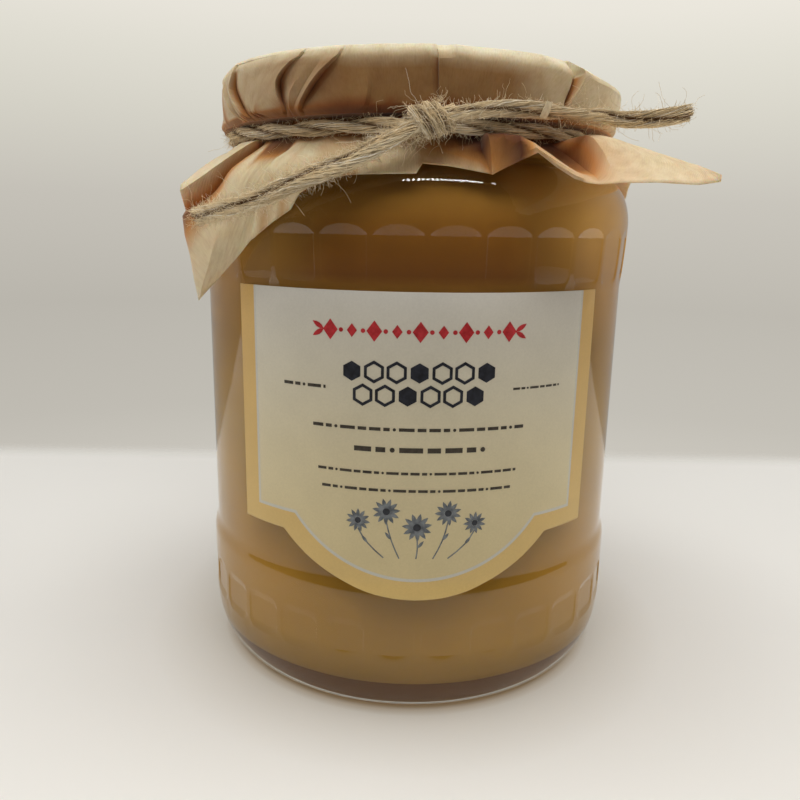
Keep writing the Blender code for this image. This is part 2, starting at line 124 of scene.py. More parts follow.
# Kinds of node, and settings that many nodes share
MATH = "ShaderNodeMath"
VECTOR_MATH = "ShaderNodeVectorMath"
RAMP = "ShaderNodeValToRGB"
RANGE = "ShaderNodeMapRange"
RANDOM = "FunctionNodeRandomValue"
SOFT = {"interpolation_type": "SMOOTHSTEP"}
BLEND = {"data_type": "RGBA"}
TINT = {"data_type": "RGBA", "blend_type": "MULTIPLY"}


def polar(angle, radius, height):
    """A point in metres from an angle off -Y, a radius and a height."""
    turn = math.radians(angle)
    return Vector((radius * math.sin(turn), -radius * math.cos(turn), height)) * MM


def smooth_route(points, spacing=1.0, count=None):
    """Even points along a Catmull-Rom curve through the route's own points."""
    ends = [points[0] * 2 - points[1]] + points + [points[-1] * 2 - points[-2]]
    dense = []
    for p0, p1, p2, p3 in zip(ends, ends[1:], ends[2:], ends[3:]):
        for step in range(12):
            t = step / 12
            spot = 2 * p1 + (p2 - p0) * t
            spot = spot + (2 * p0 - 5 * p1 + 4 * p2 - p3) * t ** 2
            dense.append((spot + (3 * p1 - p0 - 3 * p2 + p3) * t ** 3) / 2)
    dense.append(points[-1])
    lengths = [0.0]
    for a, b in zip(dense, dense[1:]):
        lengths.append(lengths[-1] + (b - a).length)
    if count is None:
        count = max(2, round(lengths[-1] / (spacing * MM)))
    even = []
    place = 0
    for i in range(count + 1):
        target = lengths[-1] * i / count
        while place < len(lengths) - 2 and lengths[place + 1] < target:
            place += 1
        share = (target - lengths[place]) / (lengths[place + 1] - lengths[place])
        even.append(dense[place].lerp(dense[place + 1], share))
    return even


def linear_colour(code):
    """Linear RGBA from an sRGB hex colour."""
    channels = [int(code[i:i + 2], 16) / 255 for i in (0, 2, 4)]
    return (*[c / 12.92 if c <= 0.04045 else ((c + 0.055) / 1.055) ** 2.4 for c in channels], 1.0)


def first_output(node):
    """The first output socket that the node has in use."""
    return next(s for s in node.outputs if s.enabled)


def add_node(tree, kind, *inputs, stops=None, **settings):
    """Add a node. Its inputs are filled in their own order, and a dict fills them by name
    or number. Each is a value, another node, or one of its outputs. stops are a ramp's
    colours by their place, from the lowest to the highest."""
    new = tree.nodes.new(kind)
    for name, value in settings.items():
        setattr(new, name, value)
    for place, given in enumerate(inputs):
        for key, value in (given if isinstance(given, dict) else {place: given}).items():
            if isinstance(key, str):
                socket = next(s for s in new.inputs if s.enabled and s.name == key)
            else:
                socket = new.inputs[key]
            if isinstance(value, bpy.types.Node):
                value = first_output(value)
            if isinstance(value, bpy.types.NodeSocket):
                tree.links.new(value, socket)
            else:
                socket.default_value = value
    if stops:
        marks = list(stops.items())
        ramp = new.color_ramp.elements
        for mark, (ramp_place, code) in zip(ramp, (marks[0], marks[-1])):
            mark.position = ramp_place
            mark.color = linear_colour(code)
        for ramp_place, code in marks[1:-1]:
            ramp.new(ramp_place).color = linear_colour(code)
    return new


def new_material(name, **constants):
    """A Principled material, its shader, its add_node and the place on the object. Constants
    name the shader's sockets, with _ for a space."""
    made = bpy.data.materials.new(name)
    made.use_nodes = True
    shader = made.node_tree.nodes["Principled BSDF"]
    for key, value in constants.items():
        value = linear_colour(value) if isinstance(value, str) else value
        shader.inputs[key.replace("_", " ")].default_value = value
    add = partial(add_node, made.node_tree)
    return made, shader, add, add("ShaderNodeTexCoord").outputs["Object"]


def feed(shader, **nodes):
    """Link nodes to the shader's sockets, named with _ for a space."""
    for key, node in nodes.items():
        shader.id_data.links.new(first_output(node), shader.inputs[key.replace("_", " ")])


def settle(piece, slot, *nodes):
    """Every piece rides on the one body, and some stand for CAD nodes."""
    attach(piece, "root")
    if nodes:
        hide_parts(*nodes)


def finished(work, name, sharp=None):
    """Turn edited geometry into a mesh, smooth up to the sharp angle where one is given."""
    mesh = bpy.data.meshes.new(name)
    work.to_mesh(mesh)
    work.free()
    if sharp is not None:
        mesh.shade_smooth()
        mesh.set_sharp_from_angle(angle=math.radians(sharp))
    return mesh


def line_mesh(name, points, widths=None):
    """A path as a chain of edges, with its relative width at each point."""
    mesh = bpy.data.meshes.new(name)
    mesh.from_pydata([tuple(p) for p in points], [(i, i + 1) for i in range(len(points) - 1)], [])
    store = mesh.attributes.new("width", "FLOAT", "POINT")
    store.data.foreach_set("value", widths or [1.0] * len(points))
    return mesh


def new_tree(name, floats, whole_numbers):
    """A geometry tree with named inputs after the geometry itself, the last its material."""
    tree = bpy.data.node_groups.new(name, "GeometryNodeTree")
    inputs = [("Geometry", "Geometry")] + [(label, "Float") for label in floats]
    inputs += [(label, "Int") for label in whole_numbers] + [("Finish", "Material")]
    for label, kind in inputs:
        tree.interface.new_socket(label, in_out="INPUT", socket_type="NodeSocket" + kind)
    tree.interface.new_socket("Geometry", in_out="OUTPUT", socket_type="NodeSocketGeometry")
    add = partial(add_node, tree)
    return tree, add("NodeGroupInput").outputs, add


def close_tree(add, given, node):
    """End a tree in real geometry with the material from its Finish input."""
    real = add("GeometryNodeRealizeInstances", node)
    add("NodeGroupOutput", add("GeometryNodeSetMaterial", real, {"Material": given["Finish"]}))


def grown(name, base, tree, settings):
    """Run a tree on a base mesh and keep the result as a plain mesh."""
    piece = new_object(name, base)
    modifier = piece.modifiers.new("grow", "NODES")
    modifier.node_group = tree
    sockets = {item.name: item.identifier for item in tree.interface.items_tree if item.in_out == "INPUT"}
    for label, value in settings.items():
        modifier[sockets[label]] = value
    bpy.context.view_layer.update()
    graph = bpy.context.evaluated_depsgraph_get()
    mesh = bpy.data.meshes.new_from_object(piece.evaluated_get(graph))
    piece.modifiers.clear()
    piece.data = mesh
    return piece


def strand_tree():
    """Strands laid up in plies round a path: the lay of a twine."""
    floats = ["Step", "Ply Phase", "Ply Pitch", "Strand Pitch", "Ply Reach", "Strand Reach"]
    floats += ["Strand Radius", "Wander", "Fray"]
    tree, given, add = new_tree("laid_strands", floats, ["Plies", "Strands", "Sides"])
    curve = add("GeometryNodeMeshToCurve", given["Geometry"])
    even = add("GeometryNodeResampleCurve", {"Curve": curve, "Length": given["Step"]}, mode="LENGTH")
    total = add(MATH, given["Plies"], given["Strands"], operation="MULTIPLY")
    copies = add("GeometryNodeDuplicateElements", even, {"Amount": total}, domain="SPLINE")
    number = copies.outputs["Duplicate Index"]
    along = add("GeometryNodeSplineParameter").outputs["Length"]
    ply = add(MATH, add(MATH, number, given["Strands"], operation="DIVIDE"), operation="FLOOR")
    strand = add(MATH, number, given["Strands"], operation="MODULO")
    # Turns about the cord's axis, as shares of a whole turn and then in radians
    ply_turn = add(MATH, ply, given["Plies"], operation="DIVIDE")
    ply_run = add(MATH, along, given["Ply Pitch"], operation="DIVIDE")
    for operation, value in (("ADD", ply_run), ("ADD", given["Ply Phase"]), ("MULTIPLY", 2 * math.pi)):
        ply_turn = add(MATH, ply_turn, value, operation=operation)
    strand_run = add(MATH, along, given["Strand Pitch"], operation="DIVIDE")
    strand_run = add(MATH, strand_run, 2 * math.pi, operation="MULTIPLY")
    strand_turn = add(MATH, strand, GOLDEN_ANGLE, strand_run, operation="MULTIPLY_ADD")
    strand_reach = strand
    steps = (("ADD", 0.5), ("DIVIDE", given["Strands"]), ("SQRT",), ("MULTIPLY", given["Strand Reach"]))
    for operation, *values in steps:
        strand_reach = add(MATH, strand_reach, *values, operation=operation)
    width = add("GeometryNodeInputNamedAttribute", {"Name": "width"}, data_type="FLOAT")
    normal = add("GeometryNodeInputNormal").outputs["Normal"]
    tangent = add("GeometryNodeInputTangent")
    across = add(VECTOR_MATH, tangent, normal, operation="CROSS_PRODUCT")
    shifts = []
    for turning, side in (("COSINE", normal), ("SINE", across)):
        of_ply = add(MATH, ply_turn, operation=turning)
        of_ply = add(MATH, of_ply, given["Ply Reach"], operation="MULTIPLY")
        of_strand = add(MATH, strand_turn, operation=turning)
        shift = add(MATH, of_strand, strand_reach, of_ply, operation="MULTIPLY_ADD")
        shift = add(MATH, shift, width, operation="MULTIPLY")
        shifts.append(add(VECTOR_MATH, side, {"Scale": shift}, operation="SCALE"))
    shift = add(VECTOR_MATH, *shifts, operation="ADD")
    # How deep in the cord a strand lies, from 0 at the outside to 1 at its axis
    full = add(MATH, given["Ply Reach"], given["Strand Reach"], operation="ADD")
    full = add(MATH, full, width, operation="MULTIPLY")
    inward = add(VECTOR_MATH, shift, operation="LENGTH").outputs["Value"]
    inward = add(MATH, 1.0, add(MATH, inward, full, operation="DIVIDE"), operation="SUBTRACT")
    # Each strand wanders by itself
    spread = add("ShaderNodeCombineXYZ", number, strand_turn, ply)
    spread = add(VECTOR_MATH, spread, {"Scale": 3.7}, operation="SCALE")
    place = add("GeometryNodeInputPosition")
    spot = add(VECTOR_MATH, place, (280.0, 280.0, 280.0), spread, operation="MULTIPLY_ADD")
    stray = add("ShaderNodeTexNoise", {"Vector": spot, "Scale": 1.0, "Detail": 2.0}).outputs["Color"]
    stray = add(VECTOR_MATH, stray, (0.5, 0.5, 0.5), operation="SUBTRACT")
    stray = add(VECTOR_MATH, stray, {"Scale": given["Wander"]}, operation="SCALE")
    shift = add(VECTOR_MATH, shift, stray, operation="ADD")
    marked = {"Geometry": copies, "Name": "inward", "Value": inward}
    marked = add("GeometryNodeStoreNamedAttribute", marked, data_type="FLOAT", domain="POINT")
    laid = add("GeometryNodeSetPosition", marked, {"Offset": shift})
    # Strands end at different places
    short = add(RANDOM, {2: 0.0, 3: 1.0, "ID": number, "Seed": 9}, data_type="FLOAT")
    short = add(MATH, short, 2.5, operation="POWER")
    short = add(MATH, short, given["Fray"], operation="MULTIPLY")
    short = add(MATH, 1.0, short, operation="SUBTRACT")
    laid = add("GeometryNodeTrimCurve", {"Curve": laid, "End": short}, mode="FACTOR")
    ring = add("GeometryNodeCurvePrimitiveCircle", {"Resolution": given["Sides"], "Radius": 1.0})
    thick = add(RANDOM, {2: 0.6, 3: 1.25, "ID": number, "Seed": 4}, data_type="FLOAT")
    thick = add(MATH, thick, given["Strand Radius"], operation="MULTIPLY")
    skin = {"Curve": laid, "Profile Curve": ring, "Scale": thick, "Fill Caps": True}
    close_tree(add, given, add("GeometryNodeSetShadeSmooth", add("GeometryNodeCurveToMesh", skin)))
    return tree


def fuzz_tree():
    """Loose fibres that stand off a path: roots on a thin tube, then one bent hair each."""
    floats = ["Cord Radius", "Density", "Shortest", "Longest", "Hair Radius", "Lift", "Curl"]
    tree, given, add = new_tree("loose_fibres", floats, ["Seed"])
    curve = add("GeometryNodeMeshToCurve", given["Geometry"])
    even = add("GeometryNodeResampleCurve", {"Curve": curve, "Length": 1.5 * MM}, mode="LENGTH")
    marked = {"Geometry": even, "Name": "run", "Value": add("GeometryNodeInputTangent")}
    marked = add("GeometryNodeStoreNamedAttribute", marked, data_type="FLOAT_VECTOR", domain="POINT")
    ring = add("GeometryNodeCurvePrimitiveCircle", {"Resolution": 8, "Radius": given["Cord Radius"]})
    skin = add("GeometryNodeCurveToMesh", {"Curve": marked, "Profile Curve": ring})
    roots = {"Mesh": skin, "Density": given["Density"], "Seed": given["Seed"]}
    roots = add("GeometryNodeDistributePointsOnFaces", roots)
    # A hair runs along the cord one way or the other, lifts off it and sways
    run = add("GeometryNodeInputNamedAttribute", {"Name": "run"}, data_type="FLOAT_VECTOR")
    side = add(RANDOM, {2: -1.0, 3: 1.0, "Seed": 11}, data_type="FLOAT")
    lengthwise = add(VECTOR_MATH, run, {"Scale": side}, operation="SCALE")
    outward = add(VECTOR_MATH, roots.outputs["Normal"], {"Scale": given["Lift"]}, operation="SCALE")
    sway = {0: (-0.55, -0.55, -0.55), 1: (0.55, 0.55, 0.55), "Seed": given["Seed"]}
    sway = add(RANDOM, sway, data_type="FLOAT_VECTOR")
    aim = add(VECTOR_MATH, lengthwise, outward, operation="ADD")
    aim = add(VECTOR_MATH, aim, sway, operation="ADD")
    turned = add("FunctionNodeAlignRotationToVector", {"Vector": aim}, axis="Z")
    roll = add(RANDOM, {2: 0.0, 3: 2 * math.pi, "Seed": 5}, data_type="FLOAT")
    roll = add("ShaderNodeCombineXYZ", {2: roll})
    turned = add("FunctionNodeRotateRotation", turned, roll, rotation_space="LOCAL")
    bend = {"Resolution": 7, "Start": (0, 0, 0), "Middle": (0.05, 0.0, 0.6), "End": (0.45, 0.1, 0.85)}
    hair = add("GeometryNodeCurveQuadraticBezier", bend)
    size = add(RANDOM, {2: given["Shortest"], 3: given["Longest"], "Seed": 8}, data_type="FLOAT")
    hairs = {"Points": roots.outputs["Points"], "Instance": hair, "Rotation": turned, "Scale": size}
    real = add("GeometryNodeRealizeInstances", add("GeometryNodeInstanceOnPoints", hairs))
    place = add("GeometryNodeInputPosition")
    drift = add("ShaderNodeTexNoise", {"Vector": place, "Scale": 420.0, "Detail": 1.0}).outputs["Color"]
    drift = add(VECTOR_MATH, drift, (0.5, 0.5, 0.5), operation="SUBTRACT")
    curl = add("GeometryNodeSplineParameter").outputs["Factor"]
    curl = add(MATH, curl, given["Curl"], operation="MULTIPLY")
    drift = add(VECTOR_MATH, drift, {"Scale": curl}, operation="SCALE")
    bent = add("GeometryNodeSetPosition", real, {"Offset": drift})
    fine = add("GeometryNodeCurvePrimitiveCircle", {"Resolution": 3, "Radius": 1.0})
    thick = {"Curve": bent, "Profile Curve": fine, "Scale": given["Hair Radius"], "Fill Caps": True}
    close_tree(add, given, add("GeometryNodeCurveToMesh", thick))
    return tree


def jute_material():
    """Bleached jute: dull, slightly silky fibre, grey-beige with darker and paler strands."""
    made, shader, add, spot = new_material(
        "bleached_jute", Roughness=0.75, Sheen_Weight=0.35, IOR=JUTE_IOR, Sheen_Tint="E8C898")
    island = add("ShaderNodeNewGeometry").outputs["Random Per Island"]
    shades = add(RAMP, island, stops={0.0: "D4BE98", 0.35: "ECD8B0", 0.75: "FAEBCB", 1.0: "FFF8E8"})
    # Patches about 2 mm long, where the strands lie dirtier or cleaner
    patch = add("ShaderNodeTexNoise", {"Vector": spot, "Scale": 450.0, "Detail": 3.0})
    patch = add(RANGE, patch, 0.3, 0.7, 0.85, 1.14)
    # Painted darker deep in the cord, where little light reaches
    inward = add("ShaderNodeAttribute", attribute_name="inward").outputs["Fac"]
    deep = add(RAMP, inward, stops={0.32: "FFFFFF", 0.62: "74563C"})
    for layer in (deep, patch):
        shades = add("ShaderNodeMix", {"Factor": 1.0, "A": shades, "B": layer}, **TINT)
    feed(shader, Base_Color=shades)
    return made


JUTE = jute_material()
STRANDS = strand_tree()
FUZZ = fuzz_tree()
TAIL_LAY = {
    "Step": 0.8 * MM, "Plies": 2, "Strands": 72, "Sides": 3, "Ply Phase": 0.0, "Ply Pitch": 200 * MM,
    "Strand Pitch": 28 * MM, "Ply Reach": 1.0 * MM, "Strand Reach": 1.2 * MM, "Strand Radius": 0.11 * MM,
    "Wander": 0.8 * MM, "Fray": 0.06, "Finish": JUTE,
}
LOOP_LAY = {
    **TAIL_LAY, "Step": 1.0 * MM, "Ply Pitch": 24 * MM, "Strand Pitch": -34 * MM, "Strands": 38,
    "Ply Reach": 0.55 * MM, "Strand Reach": 0.85 * MM, "Strand Radius": 0.12 * MM,
    "Wander": 0.5 * MM, "Fray": 0.0,
}
KNOT_LAY = {
    **LOOP_LAY, "Step": 0.6 * MM, "Ply Pitch": 30 * MM, "Strand Pitch": 40 * MM, "Strands": 50,
    "Wander": 1.35 * MM, "Ply Reach": 0.5 * MM, "Strand Reach": 0.9 * MM, "Strand Radius": 0.115 * MM,
}
FUZZ_LAY = {
    "Cord Radius": 1.45 * MM, "Density": 4.0e6, "Shortest": 0.7 * MM, "Longest": 2.0 * MM,
    "Hair Radius": 0.028 * MM, "Lift": 0.32, "Curl": 0.9 * MM, "Seed": 1, "Finish": JUTE,
}
STRAY_LAY = {
    **FUZZ_LAY, "Density": 0.2e6, "Shortest": 2.4 * MM, "Longest": 6.0 * MM, "Hair Radius": 0.026 * MM,
    "Curl": 3.0 * MM,
}
# Where along a tail its width is given: at the knot, at these shares and at the tip
WIDTH_PLACES = (0.0, 0.4, 0.66, 1.0)


def tail_widths(count, knots, seed):
    """Uneven widths along a tail from its widths at WIDTH_PLACES."""
    widths = []
    for i in range(count):
        share = i / (count - 1)
        width = knots[0]
        for start, end, a, b in zip(WIDTH_PLACES, WIDTH_PLACES[1:], knots, knots[1:]):
            if start < share <= end:
                width = a + (b - a) * (share - start) / (end - start)
        widths.append(width * (1 + 0.13 * noise.noise(Vector((i * 0.16, seed, 0)))))
    return widths


tail_paths = {}
tails = {}
for name, route, knots, seed, lay in (
    ("twine_tail_left", LEFT_TAIL, (1.0, 0.96, 0.7, 0.72), 2, {"Ply Phase": 0.52, "Ply Pitch": -175 * MM}),
    ("twine_tail_right", RIGHT_TAIL, (0.52, 0.74, 0.64, 0.8), 3, {
        "Ply Phase": 0.1, "Ply Pitch": 60 * MM, "Strand Pitch": -26 * MM, "Ply Reach": 0.95 * MM,
        "Wander": 0.5 * MM,
    }),
):
    path = smooth_route([polar(*spot) for spot in route], 1.0)
    tail_paths[name] = path
    line = line_mesh(name, path, tail_widths(len(path), knots, seed))
    tails[name] = grown(name + "_laid", line, STRANDS, {**TAIL_LAY, **lay})
    settle(tails[name], "jute", name)

loop_points = []
for step in range(LOOP_STEPS + 1):
    angle = LOOP_END_ANGLE - 3.0 + (366.0 - 2 * LOOP_END_ANGLE) * step / LOOP_STEPS
    from_knot = min(angle, 360 - angle) - LOOP_END_ANGLE
    swing = 1.7 * math.exp(-(from_knot / LOOP_END_ANGLE) ** 2)
    rise = 0.35 * math.sin(math.radians(3 * angle + 40)) * (1 - math.exp(-(from_knot / 20) ** 2))
    # It rides up on the left
    rise += 0.8 * math.exp(-((angle - 288) / 30) ** 2)
    loop_points.append(polar(angle, LOOP_RADIUS + swing, LOOP_HEIGHT + rise))
loop_widths = [0.98 + 0.12 * noise.noise(Vector((i * 0.4, 9.0, 0))) for i in range(len(loop_points))]
twine_loop = grown("twine_loop_laid", line_mesh("twine_loop", loop_points, loop_widths), STRANDS, LOOP_LAY)
settle(twine_loop, "jute", "twine_loop")


def knot_paths():
    """The standing part through the knot and the two turns laid over it."""
    front = Vector((0.0, -1.0, 0.0))
    up = KNOT_LEAN.cross(front) * -1.0
    paths = [[KNOT_CENTRE + KNOT_LEAN * x + front * 0.2 * math.cos(x) for x in KNOT_THROUGH]]
    for shift, reach in KNOT_TURNS:
        ring = []
        for i in range(KNOT_TURN_STEPS + 1):
            turn = math.radians(-200 + 400 * i / KNOT_TURN_STEPS)
            slide = shift + 0.95 * math.sin(turn) + 0.3 * i / KNOT_TURN_STEPS
            spot = KNOT_CENTRE + KNOT_LEAN * slide + front * reach * math.cos(turn)
            ring.append(spot - up * reach * 1.05 * math.sin(turn))
        paths.append(ring)
    return paths


knot_parts = []
for i, points in enumerate(knot_paths()):
    path = smooth_route([p * MM for p in points], 0.6)
    knot_parts.append(grown("knot_part_%d" % i, line_mesh("knot_part", path), STRANDS, KNOT_LAY))
work = bmesh.new()
for part in knot_parts:
    work.from_mesh(part.data)
    bpy.data.objects.remove(part, do_unlink=True)
twine_knot = new_object("twine_knot_laid", finished(work, "twine_knot_laid"), JUTE)
settle(twine_knot, "jute", "twine_knot")

fuzz_pieces = {}
left_path = tail_paths["twine_tail_left"]
right_path = tail_paths["twine_tail_right"]
knot_line = [KNOT_CENTRE * MM + Vector((x, -0.6, x * 0.3)) * MM for x in (-3, -1, 1, 3)]
for name, path, base, lay in (
    ("fuzz_tail_left", left_path, FUZZ_LAY, {
        "Seed": 2, "Density": 5.2e6, "Longest": 2.3 * MM, "Lift": 0.4}),
    ("fuzz_tail_right", right_path, FUZZ_LAY, {
        "Seed": 5, "Cord Radius": 1.2 * MM, "Density": 2.4e6, "Lift": 0.16}),
    ("strays_tail_left", left_path, STRAY_LAY, {"Seed": 21}),
    ("strays_tail_right", right_path, STRAY_LAY, {"Seed": 23}),
    ("fuzz_loop", loop_points, FUZZ_LAY, {"Seed": 7, "Cord Radius": 1.4 * MM, "Density": 1.1e6}),
    ("strays_loop", loop_points, STRAY_LAY, {"Seed": 8, "Cord Radius": 1.3 * MM, "Density": 0.05e6}),
    ("fuzz_knot", knot_line, FUZZ_LAY, {"Seed": 12, "Cord Radius": 2.6 * MM, "Density": 4.5e6}),
    ("strays_knot", knot_line, STRAY_LAY, {
        "Seed": 14, "Cord Radius": 2.6 * MM, "Density": 0.22e6, "Lift": 0.5}),
):
    fuzz_pieces[name] = grown(name, line_mesh(name, path), FUZZ, {**base, **lay})
    settle(fuzz_pieces[name], "jute")


def straw_chip():
    """A flat splinter of jute stalk caught in the right-hand end, 2.8 mm by 1.4 mm."""
    along = Vector((0.35, -0.25, 1.0)).normalized()
    place = polar(*CHIP_PLACE) / MM
    out = Vector((place.x, place.y, 0)).normalized()
    side = along.cross(out).normalized()
    work = bmesh.new()
    rows = []
    for share, half in CHIP_HALVES:
        centre = place + along * share * CHIP_LENGTH + out * (0.2 * math.cos(share * math.pi))
        front = ((-half, 0.0), (0.0, 0.14), (half, 0.02))
        back = ((half, -0.2), (0.0, -0.12), (-half, -0.22))
        row = []
        for across, lift in front + back:
            row.append(work.verts.new((centre + side * across + out * lift) * MM))
        rows.append(row)
    for a, b in zip(rows, rows[1:]):
        for i in range(6):
            j = (i + 1) % 6
            work.faces.new((a[i], a[j], b[j], b[i]))
    work.faces.new(rows[0])
    work.faces.new(rows[-1])
    bmesh.ops.recalc_face_normals(work, faces=work.faces)
    return finished(work, "straw_chip")


def straw_material():
    """Split jute stalk: pale, smooth and faintly streaked along its length."""
    made, shader, add, spot = new_material("split_stalk", Roughness=0.5, IOR=JUTE_IOR)
    streak = add("ShaderNodeMapping", {"Vector": spot, "Scale": (3000.0, 3000.0, 400.0)})
    streak = add("ShaderNodeTexNoise", {"Vector": streak, "Scale": 1.0, "Detail": 2.0})
    feed(shader, Base_Color=add(RAMP, streak, stops={0.0: "CDBB94", 1.0: "FFF6DC"}))
    return made


chip = new_object("straw_chip", straw_chip(), straw_material())
settle(chip, "jute")

for name, extras in (
    ("twine_tail_left", [fuzz_pieces["fuzz_tail_left"], fuzz_pieces["strays_tail_left"]]),
    ("twine_tail_right", [fuzz_pieces["fuzz_tail_right"], fuzz_pieces["strays_tail_right"], chip]),
):
    path = tail_paths[name]


# Glass jar
# Clear pressed glass. Thirty flat panels are pressed into a band above the label and one
# below it; each upper panel ends in an arched facet that leans out to the shoulder.
JAR_RADIUS = 48.0
WAIST_RADIUS = 47.2
JAR_HEIGHT = 125.5
HEEL_WIDTH = 6.2
HEEL_HEIGHT = 13.0
# Heights over the lower ledge, with how much of the step to the waist is done at each
LEDGE = (
    (26.4, 0.0), (27.0, 0.04), (27.6, 0.15), (28.2, 0.35),
    (28.8, 0.65), (29.4, 0.85), (30.0, 0.96), (30.6, 1.0),
)
SHOULDER_START = 97.8
SHOULDER_RISE = 11.4
SHOULDER_END = SHOULDER_START + SHOULDER_RISE
NECK_RADIUS = 38.6
FINISH_RADIUS = 39.4
BORE_RADIUS = 36.2
INNER_RADIUS = 45.0
BASE_THICKNESS = 5.5
BASE_HOLLOW = 0.7
PANEL_COUNT = 30
PANEL_PHASE = 1.0
PANEL_DEPTH = 0.38
LOWER_DEPTH = 0.4
PANEL_REACH = 5.35
PANEL_EDGE = 5.2
FACET_HEIGHT = 1.9
FACET_SILL = 0.12
LOWER_PANEL = (12.6, 21.6)
UPPER_PANEL = (86.0, 97.2)
# Columns of glass across one panel, in degrees from its middle
RIB_STEPS = (-6.0, -5.75, -5.35, -5.0, -4.6, -4.0, -3.0, -1.5, 0.0, 1.5, 3.0, 4.0, 4.6, 5.0, 5.35, 5.75)


def ellipse(centre, half_width, half_height, start, end, steps):
    """Profile points (radius, height) along an ellipse, angles in degrees from level."""
    turns = [math.radians(start + (end - start) * step / steps) for step in range(steps + 1)]
    return [(centre[0] + half_width * math.cos(t), centre[1] + half_height * math.sin(t)) for t in turns]


def wall_radius(height):
    """Outside of the glass between the heel and the shoulder, without its panels."""
    if height <= LEDGE[0][0] or height >= UPPER_PANEL[1]:
        return JAR_RADIUS
    if height < LEDGE[-1][0]:
        for (z0, s0), (z1, s1) in zip(LEDGE, LEDGE[1:]):
            if z0 <= height <= z1:
                share = s0 + (s1 - s0) * (height - z0) / (z1 - z0)
                return JAR_RADIUS + (WAIST_RADIUS - JAR_RADIUS) * share
    if height <= UPPER_PANEL[0]:
        return WAIST_RADIUS
    rise = (height - UPPER_PANEL[0]) / (UPPER_PANEL[1] - UPPER_PANEL[0])
    return WAIST_RADIUS + (JAR_RADIUS - WAIST_RADIUS) * rise ** 0.6


def outer_column(turn):
    """Outside of the glass up one column, turn degrees away from the middle of a panel."""
    across = min(1.0, abs(turn) / PANEL_REACH)
    in_panel = 1.0 if abs(turn) < PANEL_EDGE else 0.0
    corner = across ** 7
    points = [(20.0, BASE_HOLLOW), (34.0, BASE_HOLLOW * 0.8), (39.0, BASE_HOLLOW * 0.3), (40.9, 0.05)]
    points += ellipse((JAR_RADIUS - HEEL_WIDTH, HEEL_HEIGHT), HEEL_WIDTH, HEEL_HEIGHT, -90, -16, 22)
    # Heights up the wall, with how far into its panel the glass is at each
    low = LOWER_PANEL[0] + 1.6 * corner
    high = LOWER_PANEL[1] - 1.6 * corner
    spots = [(low, 0.0), (low + 0.7, 0.35), (low + 1.6, 1.0), (16.5, 1.0), (18.0, 1.0)]
    spots += [(high - 1.6, 1.0), (high - 0.7, 0.35), (high, 0.0), (24.5, 0.0)]
    spots += [(z, 0.0) for z, _ in LEDGE] + [(z, 0.0) for z in (31.0, 40, 50, 60, 70, 80, 85.0)]
    bottom = UPPER_PANEL[0] + 1.8 * corner
    chord = UPPER_PANEL[1] - FACET_HEIGHT
    arch = chord + FACET_SILL + (FACET_HEIGHT - FACET_SILL) * max(0.0, 1 - across ** 2.2) ** 0.75
    spots += [(bottom, 0.0), (bottom + 0.4, 0.4), (bottom + 0.9, 1.0), (90.0, 1.0), (92.5, 1.0)]
    spots += [(chord, 1.0), (arch, 0.0), (97.45, 0.0)]
    for height, sunk in spots:
        radius = wall_radius(height)
        depth = PANEL_DEPTH if height > UPPER_PANEL[0] else LOWER_DEPTH
        flat = (radius - depth) / math.cos(math.radians(turn))
        points.append((radius + (min(radius, flat) - radius) * sunk * in_panel, height))
    points += ellipse((FINISH_RADIUS, SHOULDER_START), JAR_RADIUS - FINISH_RADIUS, SHOULDER_RISE, 0, 84, 18)
    points += [(NECK_RADIUS, SHOULDER_END + 1.2), (NECK_RADIUS, 116.0), (FINISH_RADIUS, 116.8)]
    return points + [(FINISH_RADIUS, JAR_HEIGHT - 1.5), (NECK_RADIUS, JAR_HEIGHT)]


def inner_wall(grow=0.0, steps=12):
    """Inside of the glass from under the mouth down to the floor, as (radius, height)."""
    radius = INNER_RADIUS + grow
    bore = BORE_RADIUS + grow
    floor = BASE_THICKNESS - grow
    points = [(bore, SHOULDER_END - 1.0)]
    points += ellipse((bore, SHOULDER_START), radius - bore, SHOULDER_RISE - 2.6, 80, 0, steps)
    points += [(radius, z) for z in (90, 80, 70, 60, 50, 40, 30, 20)]
    return points + ellipse((radius - 7.0, floor + 9.0), 7.0, 9.0, 0, -90, steps)


def skin_of_rings(name, rings, first, last, sharp):
    """Closed skin through equal rings of points, with a fan to a point at each end."""
    work = bmesh.new()
    rows = [[work.verts.new(point) for point in ring] for ring in rings]
    count = len(rings[0])
    for below, above in zip(rows, rows[1:]):
        for i in range(count):
            j = (i + 1) % count
            work.faces.new((below[i], below[j], above[j], above[i]))
    for tip, row, forward in ((first, rows[0], False), (last, rows[-1], True)):
        centre = work.verts.new(tip)
        for i in range(count):
            j = (i + 1) % count
            edge = (row[i], row[j]) if forward else (row[j], row[i])
            work.faces.new((*edge, centre))
    return finished(work, name, sharp)


def glass_mesh():
    """The whole jar: up the outside ring by ring, then down the inside."""
    angles = []
    columns = []
    for panel in range(PANEL_COUNT):
        middle = PANEL_PHASE + (panel + 0.5) * 360 / PANEL_COUNT
        angles += [middle + turn for turn in RIB_STEPS]
        columns += [outer_column(turn) for turn in RIB_STEPS]
    rings = [[polar(a, *c[k]) for a, c in zip(angles, columns)] for k in range(len(columns[0]))]
    inside = [(BORE_RADIUS, JAR_HEIGHT)] + inner_wall()[:-1]
    rings += [[polar(a, r, z) for a in angles] for r, z in inside]
    return skin_of_rings("glass_jar", rings, polar(0, 0, BASE_HOLLOW), polar(0, 0, BASE_THICKNESS), 9)


